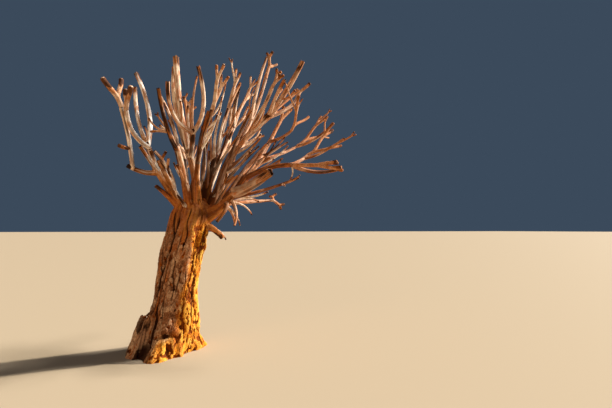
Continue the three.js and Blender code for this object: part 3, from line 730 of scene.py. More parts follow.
def points_of(mesh):
    """Places of all the mesh's points, one row each."""
    points = np.empty(len(mesh.vertices) * 3, np.float32)
    mesh.vertices.foreach_get("co", points)
    return points.reshape(-1, 3).astype(float)


def normals_of(mesh):
    """Outward directions at all the mesh's points, one row each."""
    normals = np.empty(len(mesh.vertices) * 3, np.float32)
    mesh.vertex_normals.foreach_get("vector", normals)
    return normals.reshape(-1, 3).astype(float)


def move_points(mesh, points):
    """Puts all the mesh's points at new places."""
    mesh.vertices.foreach_set("co", np.ascontiguousarray(points, np.float32).ravel())
    mesh.update()


def store(mesh, name, values):
    """Keeps one number, or one vector, for each point as a named attribute."""
    values = np.ascontiguousarray(values, np.float32)
    kind, field = ("FLOAT", "value") if values.ndim == 1 else ("FLOAT_VECTOR", "vector")
    mesh.attributes.new(name, kind, "POINT").data.foreach_set(field, values.ravel())


def fused(name, shells, voxel, smoothing):
    """Shells that run into each other, fused to one skin by a voxel remesh and softened."""
    piece = mesh_object(name, *joined(shells))
    remesh = piece.modifiers.new("fuse", "REMESH")
    remesh.mode = "VOXEL"
    remesh.voxel_size = voxel
    remesh.use_smooth_shade = True
    soften = piece.modifiers.new("soften", "SMOOTH")
    soften.factor = 0.5
    soften.iterations = smoothing
    skin = bpy.data.meshes.new_from_object(
        piece.evaluated_get(bpy.context.evaluated_depsgraph_get())
    )
    rough = piece.data
    piece.modifiers.clear()
    piece.data = skin
    skin.name = name
    bpy.data.meshes.remove(rough)
    return piece


# Free ends of limbs, ring by ring: how far past the end and how wide, in girths there, and how
# ragged that ring is
ENDS = {
    "open": [],
    "blunt": [(-0.35, 1.0, 0.0), (0.0, 0.9, 0.1), (0.22, 0.66, 0.1), (0.3, 0.3, 0.05)],
    "torn": [
        (-0.5, 1.04, 0.0), (-0.15, 0.96, 0.3), (0.0, 0.78, 0.34),
        (-0.25, 0.5, 0.25), (-0.4, 0.2, 0.1),
    ],
    "pith": [(-0.9, 1.0, 0.0), (-0.3, 0.95, 0.05), (-0.05, 0.5, 0.0)],
    "hollow": [
        (-0.8, 1.04, 0.0), (-0.35, 1.05, 0.25), (-0.05, 0.96, 0.36), (-0.1, 0.8, 0.34),
        (-0.8, 0.66, 0.1), (-1.7, 0.52, 0.0), (-1.9, 0.22, 0.0),
    ],
}
# Cross-section of a limb: lobes, depth, and how far it turns, in radians a metre
SECTION_LOBES = [(2, 0.045, 6.2), (3, 0.035, -8.6), (5, 0.018, 13.4)]
# Where on the section a limb's lobes start, in radians per metre of its tip's place, and the waves
# round a ragged rim
PHASE_RATE = 7.0
RAG_WAVES = (2, 3, 5)
# A tube's plain rings: the fewest, how many girths before its end's rings they stop, and the least
# share of the tube that they take
PLAIN_LEAST_ROWS = 4
PLAIN_GAP = 0.3
PLAIN_LEAST_SHARE = 0.3


def tube(branch, sides, spacing, low=0.0, high=1.0, swell=1.0, end=None, ragged=0.0):
    """Rings square to the branch's curve, as wide as its girth times a lobed section that turns
    along it, then the rings of its free end, whose rim is ragged by a sum of three sine waves. The
    lower edge wanders by the same waves, as far as `ragged`."""
    rows = max(PLAIN_LEAST_ROWS, math.ceil(branch.length * (high - low) / spacing) + 1)
    ending = ENDS[end or branch.end]
    girth_end = float(branch.radius(high))
    last = high + (ending[0][0] - PLAIN_GAP) * girth_end / branch.length if ending else high
    last = max(last, low + (high - low) * PLAIN_LEAST_SHARE)
    angles = np.arange(sides) * 2 * math.pi / sides
    phase = (branch.controls[-1] * PHASE_RATE).sum()
    rag = sum(np.sin(wave * angles + phase * wave) for wave in RAG_WAVES) / len(RAG_WAVES)
    shares = np.linspace(low, last, rows)[:, None] + 0 * angles
    shares += ragged / branch.length * rag * np.linspace(1, 0, rows)[:, None] ** 2
    shares = np.clip(shares, 0, 1)

    def ring(share, girth, beyond):
        """A ring round the curve at each share, pushed past it along the heading."""
        side, other = branch.axes(share)
        section = 1
        for lobes, depth, turning in SECTION_LOBES:
            turn = phase * lobes + turning * share * branch.length
            section = section + depth * np.cos(lobes * angles + turn)
        spokes = side * np.cos(angles)[:, None] + other * np.sin(angles)[:, None]
        centres = branch.point(share) + branch.heading(share) * beyond[..., None]
        return centres + spokes * (girth * section)[..., None]

    rings = [ring(shares, branch.radius(shares) * swell, 0 * shares)]
    at_end = np.full((1, sides), high)
    for advance, width, raggedness in ending:
        beyond = (advance + raggedness * rag) * girth_end
        rings.append(ring(at_end, girth_end * width * swell, beyond[None]))
    return shell(np.concatenate(rings))


# Trunk

TRUNK_SIDES = 240
TRUNK_ROWS = 260
BELOW_GROUND = 0.06
# Ridges that run down the trunk under each bough: push, half-width in degrees, fall-off, the share
# of the bough that they point at, and how far, how fast and from where they sway
RIDGE_PUSH = 0.034
RIDGE_HALF_WIDTH = 15
RIDGE_FALL = 0.62
RIDGE_AIM = 0.6
RIDGE_SWAY = (0.12, 3.1, 0.7)
# Deep cracks: bearing at the foot and at the top in degrees, low and high end, depth, half-width
CRACKS = [
    (194, 216, 0.46, 1.34, 0.062, 5.8),
    (209, 238, 1.06, 1.84, 0.055, 4.6),
    (230, 205, 1.24, 1.90, 0.016, 2.4),
    (232, 222, 0.05, 0.70, 0.030, 3.0),
    (262, 243, 0.62, 1.30, 0.018, 2.2),
    (268, 262, 1.25, 1.95, 0.028, 2.6),
    (300, 298, 0.95, 1.70, 0.012, 2.0),
    (322, 312, 0.30, 1.10, 0.020, 3.0),
    (320, 330, 1.15, 1.80, 0.018, 2.4),
    (345, 350, 0.70, 1.60, 0.020, 2.6),
    (20, 32, 0.20, 1.20, 0.030, 3.5),
    (62, 50, 0.60, 1.85, 0.034, 3.5),
    (88, 96, 0.10, 0.90, 0.026, 3.0),
    (118, 108, 0.80, 1.80, 0.030, 3.2),
    (150, 160, 0.40, 1.50, 0.034, 3.6),
]
# How far and how fast a crack wanders up the trunk, and the share of it that closes at each end
CRACK_WANDER = 2.5
CRACK_WAVES = 19
CRACK_CLOSING = 0.2
# Bosses and hollows: bearing in degrees, height, half-width in degrees, half-height, push
BOSSES = [
    (178, 1.24, 14, 0.13, 0.016),
    (172, 0.90, 13, 0.12, 0.016),
    (192, 0.62, 20, 0.17, -0.028),
    (356, 0.38, 17, 0.23, 0.052),
    (203, 0.505, 9, 0.055, 0.080),
    (266, 0.085, 4, 0.055, -0.045),
    (258, 0.245, 15, 0.040, -0.090),
    (272, 0.560, 4, 0.028, -0.035),
    (240, 0.475, 5, 0.022, -0.030),
    (291, 0.340, 4, 0.040, -0.034),
    (244, 0.080, 8, 0.070, 0.040),
    (262, 0.055, 6, 0.055, 0.035),
    (276, 0.110, 6, 0.060, 0.028),
    (291, 0.120, 7, 0.080, 0.030),
    (336, 0.060, 8, 0.060, 0.040),
    (6, 0.090, 9, 0.075, 0.030),
    (306, 1.42, 7, 0.090, -0.022),
    (335, 1.35, 9, 0.060, 0.020),
    (283, 1.30, 8, 0.550, 0.030),
    (48, 0.300, 8, 0.070, -0.050),
    (120, 0.420, 7, 0.060, -0.040),
    (70, 1.050, 12, 0.120, 0.030),
    (140, 1.300, 10, 0.100, 0.026),
    (312, 1.760, 16, 0.090, 0.030),
    (268, 1.810, 9, 0.050, 0.022),
    (240, 1.860, 10, 0.060, 0.022),
    (290, 1.880, 10, 0.050, 0.024),
]
# Hollows at least this deep take painted shade inside
PAINTED_SHADE_HOLLOW = -0.03
# Creases between the deep cracks: how many run up the trunk, half-width in degrees, depth, how far
# they stand off even spacing, and how far each fades in and out along the trunk
CREASE_COUNT = 34
CREASE_HALF_WIDTH = 1.5
CREASE_DEPTH = 0.015
CREASE_SCATTER = 0.4
CREASE_RUN = 0.3
# Waves that a crease wanders by: degrees, radians a metre, and the step from crease to crease
CREASE_WAVES = [(5, 2.3, 1.7), (2, 9.1, 2.9)]


def trunk_axis(height):
    """How far across the trunk's middle lies: straight lines between the heights of the table."""
    return np.interp(height, *zip(*TRUNK_AXIS))


def trunk_girth(height):
    """The column's radius: straight lines between the heights of the table."""
    return np.interp(height, *zip(*TRUNK_RADIUS))


def degrees_off(bearing, middle):
    """How far a bearing in radians lies from one in degrees, the short way round, in degrees."""
    return (np.degrees(bearing) - middle + 180) % 360 - 180


def opening_of(crack, bearing, height):
    """How open a crack is there, from 0 to 1: a bell curve across it, which wanders up the trunk and
    closes at both ends."""
    foot, top, low, high, _, half_width = crack
    share = (height - low) / (high - low)
    middle = foot + (top - foot) * share + CRACK_WANDER * np.sin(CRACK_WAVES * height + foot)
    open_share = ramp(share, 0, CRACK_CLOSING) * ramp(1 - share, 0, CRACK_CLOSING)
    return open_share * bump(degrees_off(bearing, middle), 0, half_width)


def creases(bearing, height):
    """How far into a crease each point lies, from 0 to 1: lines that run up the trunk about evenly
    apart, each wandering by two sine waves, and fading in and out by noise of its own."""
    deepest = np.zeros(len(bearing))
    for number in range(CREASE_COUNT):
        middle = 360 / CREASE_COUNT * (number + CREASE_SCATTER * math.sin(7.3 * number))
        for sway, rate, step in CREASE_WAVES:
            middle = middle + sway * np.sin(rate * height + step * number)
        level = height / CREASE_RUN
        places = np.stack([level, 0 * height + 1.37 * number, 0 * height], axis=1)
        strength = ramp(noise(places, 1.0, seed=43), -0.2, 0.35)
        line = bump(degrees_off(bearing, middle), 0, CREASE_HALF_WIDTH)
        deepest = np.maximum(deepest, strength * line)
    return deepest


def trunk_reach(bearing, height, boughs):
    """Distance from the leaning axis: the column's girth times shallow flutes that wind up it, plus
    root lobes that die away with height, ridges under the boughs, bosses, and less the cracks."""
    flutes = 1
    for count, depth, start in FLUTES:
        flutes = flutes + depth * np.cos(count * (bearing + FLUTE_TWIST * height) + start)
    flare = 0
    for root, reach, half_width in ROOTS:
        flare = flare + reach * bump(degrees_off(bearing, root), 0, half_width)
    reach = trunk_girth(height) * flutes + flare * np.exp(-height / FLARE_HEIGHT)
    sway, rate, start = RIDGE_SWAY
    drift = np.degrees(sway * np.sin(rate * height + start))
    fade = np.exp(-np.maximum(TRUNK_TOP - height, 0) / RIDGE_FALL)
    for bough in boughs:
        tip = bough.point(RIDGE_AIM)
        under = math.degrees(math.atan2(tip[1], tip[0] - trunk_axis(TRUNK_TOP)))
        reach += RIDGE_PUSH * bump(degrees_off(bearing, under + drift), 0, RIDGE_HALF_WIDTH) * fade
    for middle, level, half_width, half_height, push in BOSSES:
        across = bump(degrees_off(bearing, middle), 0, half_width)
        reach += push * across * bump(height, level, half_height)
    for crack in CRACKS:
        depth = crack[4]
        reach -= depth * opening_of(crack, bearing, height)
    return reach


def trunk_shell(boughs):
    """The column on a grid of bearing and height, from below the ground to the rounded top."""
    bearing = np.arange(TRUNK_SIDES) * 2 * math.pi / TRUNK_SIDES
    height = np.linspace(-BELOW_GROUND, TRUNK_TOP, TRUNK_ROWS)[:, None]
    reach = trunk_reach(bearing, np.maximum(height, 0), boughs)
    across = trunk_axis(np.maximum(height, 0)) + reach * np.cos(bearing)
    rings = np.stack([across, reach * np.sin(bearing), height + 0 * bearing], axis=-1)
    return shell(rings)


# The split-off buttress slab at the left of the foot
SLAB_FOOT = np.array([-0.400, -0.190, -BELOW_GROUND])
SLAB_TOP = np.array([-0.262, -0.070, 0.470])
SLAB_WIDTH = 0.175
SLAB_THICKNESS = 0.078
SLAB_BEARING = math.radians(205)
SLAB_TAPER = 0.56
SLAB_HIGHEST = 0.5
SLAB_RAG = 0.022
SLAB_SIDES = 72
SLAB_ROWS = 60
# Last rings of the slab, into its hollowed break: share of the height, and of the width
SLAB_BREAK = [(1.0, 0.72), (0.9, 0.5), (0.86, 0.15)]
# Where the slab lies on the trunk's skin: bearing and half-width in degrees, and the heights where
# it gives way to the column
SLAB_SIGHT = (208, 26)
SLAB_FADE = (0.40, 0.55)


def slab_shell():
    """An elliptical column whose section shrinks evenly as it leans in, split by five ribs and nine
    grooves that run up it, and ending in a ragged, hollowed break."""
    break_share, break_width = zip(*SLAB_BREAK)
    angle = np.arange(SLAB_SIDES) * 2 * math.pi / SLAB_SIDES
    share = np.append(np.linspace(0, 1, SLAB_ROWS), break_share)[:, None]
    width = np.append(np.ones(SLAB_ROWS), break_width)[:, None]
    ribs = 1 + 0.10 * np.cos(5 * angle + 1.3) + 0.06 * np.cos(9 * angle + 4 * share)
    size = (1 - (1 - SLAB_TAPER) * share) * width * ribs
    thick = SLAB_THICKNESS * np.cos(angle) * size
    wide = SLAB_WIDTH * np.sin(angle) * size
    turn_cos, turn_sin = math.cos(SLAB_BEARING), math.sin(SLAB_BEARING)
    centre = SLAB_FOOT + (SLAB_TOP - SLAB_FOOT) * share
    rag = SLAB_RAG * ramp(share, 0.7, 1) * (np.sin(3 * angle + 0.6) + np.sin(7 * angle)) / 2
    level = centre[:, 2:] + rag - SLAB_RAG * ramp(share, 0.9, 1) / 2
    return shell(np.stack([
        centre[:, :1] + thick * turn_cos - wide * turn_sin,
        centre[:, 1:2] + thick * turn_sin + wide * turn_cos,
        np.minimum(level, SLAB_HIGHEST) + 0 * angle,
    ], axis=-1))


# Where a point of a fused skin lies

LINE_SPACING = 0.02
LINE_LEAST_SAMPLES = 3
# Points that are looked up at once, and how far the grain of one branch lies from the next's
CHUNK = 4000
OWNER_SHIFT = np.array([3.7, 1.9, 5.3])


class Lines:
    """Samples along the middle lines of branches, each with its girth and its two side axes."""

    def __init__(self):
        self.rows = []

    def add(self, centres, sides, others, girths, alongs, owner):
        """Keeps samples that all belong to one owner."""
        owners = np.full(len(centres), owner)
        self.rows.append((centres, sides, others, girths, alongs, owners))

    def add_branch(self, branch, owner):
        """Samples a branch evenly from foot to tip."""
        count = max(LINE_LEAST_SAMPLES, math.ceil(branch.length / LINE_SPACING))
        shares = np.linspace(0, 1, count)
        sides, others = branch.axes(shares)
        girths = branch.radius(shares)
        self.add(branch.point(shares), sides, others, girths, shares * branch.length, owner)

    def locate(self, points):
        """The sample whose skin each point is nearest to. Gives its owner, the distance along it, its
        girth, how many girths the point is off the middle line, and the point's place round it as a
        grain vector that runs along the branch."""
        centres, sides, others, girths, alongs, owners = map(np.concatenate, zip(*self.rows))
        flat = centres.astype(np.float32)
        nearest = np.empty(len(points), int)
        for start in range(0, len(points), CHUNK):
            part = points[start:start + CHUNK].astype(np.float32)
            squared = (part**2).sum(1)[:, None] - 2 * part @ flat.T + (flat**2).sum(1)
            gap = np.sqrt(np.maximum(squared, 0)) - girths.astype(np.float32)
            nearest[start:start + CHUNK] = np.argmin(gap, axis=1)
        away = points - centres[nearest]
        side, other = sides[nearest], others[nearest]
        ahead = np.cross(side, other)
        flat_side = (away * side).sum(1)
        flat_other = (away * other).sum(1)
        radial = np.hypot(flat_side, flat_other) + 1e-6
        girth = girths[nearest]
        along = alongs[nearest] + (away * ahead).sum(1)
        grain = np.stack([flat_side / radial * girth, flat_other / radial * girth, along], axis=1)
        grain += owners[nearest][:, None] * OWNER_SHIFT
        return owners[nearest], along, girth, radial / girth, grain


# Bark and skin

# The bark's sleeve on a bough's foot: length, how much wider it starts, how much it thins, and mesh
FOOT_SLEEVE = 0.52
SLEEVE_SWELL = 1.13
SLEEVE_THINNING = 0.26
SLEEVE_SIDES = 40
SLEEVE_SPACING = 0.012
# Voxels that the skins are fused by
TRUNK_VOXEL = 7.5 * MM
LIMB_VOXEL = 6.5 * MM
TWIG_VOXEL = 6 * MM
# Sizes of the bark's folds, splits, scales and pits: across twice, and along the grain
FOLD_SIZE = (0.12, 0.12, 1.1)
SPLIT_SIZE = (0.085, 0.085, 1.4)
SCALE_SIZE = (0.048, 0.048, 0.088)
PIT_SIZE = (0.024, 0.024, 0.062)
STAIN_SIZE = (0.075, 0.075, 0.22)
# How far noise bends the grain
GRAIN_BEND = np.array([0.020, 0.020, 0.05])
# Heights between which scales of bark give way to smooth bark, and deep creases to shallow ones
SMOOTH_ABOVE = 1.72
SCALY_BELOW = 1.25
CREASE_FADE = (1.35, 1.75)
# Depths of the folds, scales, joints and pits, and how far a scale's end lifts
FOLD_DEPTH = 0.018
SCALE_DEPTH = 0.0045
SCALE_LIFT = 0.003
JOINT_DEPTH = 0.0045
PIT_DEPTH = 0.015
# Share of the trunk's relief and of its gold that the boughs' feet have
BOUGH_RELIEF = 0.45
BOUGH_GOLD = 0.3
# Shades of the bark: the middle one, how far scales and folds lighten it, and how far painted light
# lifts the shaded slab
PLATE_SHADE = 0.5
SCALE_SHADE = 0.35
FOLD_SHADE = 0.35
SLAB_PAINTED_LIGHT = 0.7
# How dark the joints between scales are, and how dark the painted shade and dirt in the crotches are,
# on the boughs' feet and further up
JOINT_DARKNESS = 0.7
BOUGH_CROTCH_SHADE = 0.9
LIMB_CROTCH_SHADE = 0.75
# Skin below this height belongs to the flat cut, and no other comes nearer the ground than the lift
CUT_HEIGHT = 1e-4
GROUND_LIFT = 0.0005
# Gold, golden bark with painted light on the side that the key light falls on: the bearing of its
# side low down and how far that turns higher up, the heights where it turns, the bearing of the
# golden foot, and the heights where that and the gold under the boughs fade
GOLD_SIDE = (0.1, 0.25)
GOLD_TURN = (1.2, 1.7)
GOLD_FRONT = -0.6
GOLD_FOOT_FADE = (0.18, 0.34)
GOLD_TOP_FADE = (1.60, 1.78)
# Dark stains with painted shade at the foot, and painted shadow under the fork: bearing and
# half-width in degrees, with the heights where the lower one fades, and the middle and half-height of
# the upper one
FOOT_STAIN_AND_SHADE = (222, 30)
FOOT_STAIN_AND_SHADE_FADE = (0.1, 0.3)
FORK_PAINTED_SHADOW = (298, 34)
FORK_PAINTED_SHADOW_HEIGHT = (1.80, 0.12)
# The crotches between the boughs take painted shade and dirt: their middle, and the heights where
# that darkness fades
CROTCH_MIDDLE = np.array([0.42, 0.0])
CROTCH_FADE = (2.25, 3.3)


def lines_in(grain, size, seed, width):
    """Thin lines along the grain, from 0 to 1: a bell curve of how far noise is from nought."""
    return bump(noise(grain, size, seed), 0, width)


def painted_crotch_shade(points, normals):
    """How much painted shade and dirt each point takes in the crown's crotches, from 0 to 1: how
    squarely it faces the crown's middle line, fading with height."""
    away = points[:, :2] - CROTCH_MIDDLE
    away /= np.linalg.norm(away, axis=1, keepdims=True) + 0.05
    facing = -(normals[:, :2] * away).sum(1) + 0.25 * noise(points, 0.09, seed=73)
    return ramp(facing, -0.1, 0.5) * (1 - ramp(points[:, 2], *CROTCH_FADE))


def sleeve(bough):
    """The bark's start on a bough: a tube a little wider than the bough at its foot, which thins
    until the bough's own skin comes through it."""
    reach = min(1.0, FOOT_SLEEVE / bough.length)
    points, quads, triangles = tube(bough, SLEEVE_SIDES, SLEEVE_SPACING, 0.0, reach, end="open")
    rows = (len(points) - 2) // SLEEVE_SIDES
    share = np.append(np.repeat(np.linspace(0, 1, rows), SLEEVE_SIDES), [0, 1])
    middle = bough.point(share * reach)
    ragged = 0.10 * noise(points, 0.06, seed=31)
    swell = SLEEVE_SWELL - SLEEVE_THINNING * ramp(share + ragged, 0.45, 1)
    return middle + (points - middle) * swell[:, None], quads, triangles


def golden_and_lit(points, bearing):
    """Where the bark is golden, with painted light, from 0 to 1: on the side that faces right, where
    the key light falls, and round the front of the foot, with edges that noise makes ragged."""
    height = points[:, 2]
    way, turning = GOLD_SIDE
    turn = way - turning * ramp(height, *GOLD_TURN)
    side = ramp(np.cos(bearing - turn) + 0.30 * fractal(points, 0.25, 3, seed=61), 0.05, 0.35)
    low = 1 - ramp(height + 0.1 * noise(points, 0.12, seed=71), *GOLD_FOOT_FADE)
    fade = 1 - 0.85 * ramp(height + 0.08 * noise(points, 0.08, seed=77), *GOLD_TOP_FADE)
    return np.maximum(side, low * ramp(np.cos(bearing - GOLD_FRONT), 0.0, 0.4)) * fade


def painted_crack_shade(bearing, height):
    """How much painted shade each point takes in a crack or a hollow, from 0 to 1: the greatest of
    their bell curves."""
    split = np.max([opening_of(crack, bearing, height) for crack in CRACKS], axis=0)
    sunk = np.zeros(len(height))
    for middle, level, half_width, half_height, push in BOSSES:
        if push <= PAINTED_SHADE_HOLLOW:
            across = bump(degrees_off(bearing, middle), 0, half_width)
            sunk = np.maximum(sunk, across * bump(height, level, half_height))
    return np.maximum(ramp(split, 0.2, 0.7), ramp(sunk, 0.5, 0.8))


def stains_and_painted_shade(bearing, height, grain, on_slab):
    """Dark marks with ragged edges, from 0 to 1: stains with painted shade on the slab and on the
    left of the foot, and painted shadow across the front of the fork."""
    middle, half_width = FOOT_STAIN_AND_SHADE
    foot_stain_and_shade = bump(degrees_off(bearing, middle), 0, half_width) * (1 - ramp(height, *FOOT_STAIN_AND_SHADE_FADE))
    stained = np.maximum(on_slab, foot_stain_and_shade) * ramp(fractal(grain, STAIN_SIZE, 4, seed=91), 0.0, 0.16)
    # Painted shadow across the front of the fork
    middle, half_width = FORK_PAINTED_SHADOW
    fork_shadow = bump(degrees_off(bearing, middle), 0, half_width) * bump(height, *FORK_PAINTED_SHADOW_HEIGHT)
    return np.maximum(stained, fork_shadow * (0.75 + 0.5 * fractal(grain, STAIN_SIZE, 3, seed=93)))


def trunk_lines(boughs):
    """Samples up the leaning axis, which is owner 0, and along the boughs, which follow from 1."""
    lines = Lines()
    heights = np.arange(0, TRUNK_TOP, LINE_SPACING)
    side = np.tile([1.0, 0, 0], (len(heights), 1))
    centres = np.stack([trunk_axis(heights), 0 * heights, heights], axis=1)
    lines.add(centres, side, np.roll(side, 1, axis=1), trunk_girth(heights), heights, 0)
    for number, bough in enumerate(boughs, 1):
        lines.add_branch(bough, number)
    return lines


def trunk_piece(boughs):
    """The trunk, its slab and the feet of its boughs in one skin with the bark's relief: folds and
    plates of bark along the grain, with joints between them, and fissures where noise crosses
    nought. Keeps the colouring of each point."""
    shells = [trunk_shell(boughs), slab_shell()] + [sleeve(bough) for bough in boughs]
    piece = fused("trunk_bark", shells, TRUNK_VOXEL, SMOOTHING)
    mesh = piece.data
    cut_at_ground(mesh)
    points = points_of(mesh)
    normals = normals_of(mesh)
    height = points[:, 2]
    bearing = np.arctan2(points[:, 1], points[:, 0] - trunk_axis(height))
    owner, _, _, _, grain = trunk_lines(boughs).locate(points)
    on_column = owner == 0
    warp = np.stack([fractal(points, 0.10, 2, seed) for seed in (3, 5, 7)], axis=1)
    bent = grain + warp * GRAIN_BEND

    gold_and_lit = golden_and_lit(points, bearing) * np.where(on_column, 1.0, BOUGH_GOLD)
    edge = height + 0.22 * noise(points, 0.22, seed=9) - 0.35 * gold_and_lit
    scaly = (1 - ramp(edge, SCALY_BELOW, SMOOTH_ABOVE)) * on_column
    middle, half_width = SLAB_SIGHT
    on_slab = bump(degrees_off(bearing, middle), 0, half_width) * (1 - ramp(height, *SLAB_FADE))
    fold = fractal(bent, FOLD_SIZE, 3, seed=51)
    bough_crease = lines_in(bent, SPLIT_SIZE, 41, 0.06)
    bough_crease = bough_crease * ramp(noise(points, 0.35, seed=43), -0.4, 0.1)
    trunk_crease = creases(bearing, height) * (1 - 0.5 * ramp(height, *CREASE_FADE))
    trunk_crease = np.maximum(trunk_crease, on_slab * lines_in(bent, SPLIT_SIZE, 85, 0.10))
    # Creases here, and joints below, are painted less dark on the gold side, as painted light
    crease = np.where(on_column, trunk_crease, bough_crease) * (1 - 0.5 * gold_and_lit)
    depth, value, offset = plates(bent, SCALE_SIZE, seed=11)
    joint = (1 - ramp(depth, 0, 0.22)) * (0.35 + 0.65 * ramp(noise(points, 0.16, seed=47), -0.1, 0.4))
    joint = joint * (1 - 0.5 * gold_and_lit)
    pit = ramp(fractal(bent, PIT_SIZE, 2, seed=29) + 0.34 * gold_and_lit, 0.34, 0.52)

    scales = SCALE_DEPTH * value + SCALE_LIFT * offset[:, 2] - JOINT_DEPTH * joint - PIT_DEPTH * pit
    relief = np.where(on_column, 1.0, BOUGH_RELIEF) * (FOLD_DEPTH * fold - CREASE_DEPTH * crease)
    relief += scaly * scales
    moved = points + normals * relief[:, None]
    moved[:, 2] = np.where(height < CUT_HEIGHT, 0, np.maximum(moved[:, 2], GROUND_LIFT))
    move_points(mesh, moved)

    # Painted shade inside the column's deep cracks and hollows
    split = np.where(on_column, painted_crack_shade(bearing, height), 0)
    # Painted shade and dirt in the crotches of the boughs' feet
    crotch_shade = np.where(on_column, 0, BOUGH_CROTCH_SHADE * painted_crotch_shade(points, normals))
    # Stains with painted shade on the slab and the foot, and painted shadow under the fork
    stained = stains_and_painted_shade(bearing, height, bent, on_slab)
    dark = np.max([crease, split, scaly * joint * JOINT_DARKNESS, crotch_shade, stained], axis=0)
    # The slab's plates are painted lighter, as painted light against the shade it stands in
    plate = PLATE_SHADE + SCALE_SHADE * value * scaly + FOLD_SHADE * fold + SLAB_PAINTED_LIGHT * on_slab
    rusty = on_slab * ramp(noise(bent, SPLIT_SIZE, seed=83), 0.05, 0.25)
    # The crack darkness holds dark joints and creases, painted shade in cracks, hollows and crotches,
    # stains with painted shade, and painted shadow under the fork
    store(mesh, "crack", np.clip(dark, 0, 1))
    store(mesh, "plate", np.clip(plate, 0, 1))
    store(mesh, "gold_and_lit", gold_and_lit)
    store(mesh, "pit", scaly * pit)
    # Smooth bark gives way to gold on the lit side, as painted light
    store(mesh, "smooth", np.maximum((1 - scaly) * (1 - 0.9 * gold_and_lit), 0.55 * rusty))
    store(mesh, "grain", grain)
    return piece


def cut_at_ground(mesh):
    """Cuts away what lies below the ground and closes the cut with one flat face per loop."""
    work = bmesh.new()
    work.from_mesh(mesh)
    everything = work.verts[:] + work.edges[:] + work.faces[:]
    ground = {"plane_co": (0, 0, 0), "plane_no": (0, 0, 1)}
    bmesh.ops.bisect_plane(work, geom=everything, clear_inner=True, **ground)
    rim = [edge for edge in work.edges if edge.is_boundary]
    bmesh.ops.holes_fill(work, edges=rim, sides=0)
    work.to_mesh(mesh)
    work.free()
    mesh.shade_smooth()


SKIN_SIDES = 28
SKIN_SPACING = 0.014
SMOOTHING = 2
# How far the bark reaches along a bough, from where it starts to thin to where it ends
BARK_REACH = (0.3, 0.75)
# How far the rusty stretch at a free end reaches, and how wide the hollow in it is, in girths
RUSTY_END_REACH = 0.2
HOLLOW_SHARE = 0.82
# Sizes of a limb's wrinkles, folds, splits and scales: across twice, and along the grain
LIMB_WRINKLE_SIZE = (0.020, 0.020, 0.26)
LIMB_FOLD_SIZE = (0.055, 0.055, 0.75)
LIMB_SPLIT_SIZE = (0.03, 0.03, 0.5)
LIMB_SCALE_SIZE = (0.05, 0.05, 0.13)
# Their depths, with the depth of dents and of the joints between scales
LIMB_WRINKLE_DEPTH = 0.0022
LIMB_FOLD_DEPTH = 0.007
LIMB_SPLIT_DEPTH = 0.0040
LIMB_SCALE_DEPTH = 0.003
LIMB_DENT_DEPTH = 0.0030
LIMB_JOINT_DEPTH = 0.004
# How far wrinkles and folds lighten a limb's tone, and how far painted light lightens the side that
# faces the lamps
WRINKLE_TONE = 0.10
FOLD_TONE = 0.25
PAINTED_LIGHT_TONE = 0.35
# The side that is painted lighter, and shows less bark, as painted light from the lamps' side
PAINTED_LIGHT_WAY = unit(np.array([0.9, 0.1, 0.5]))


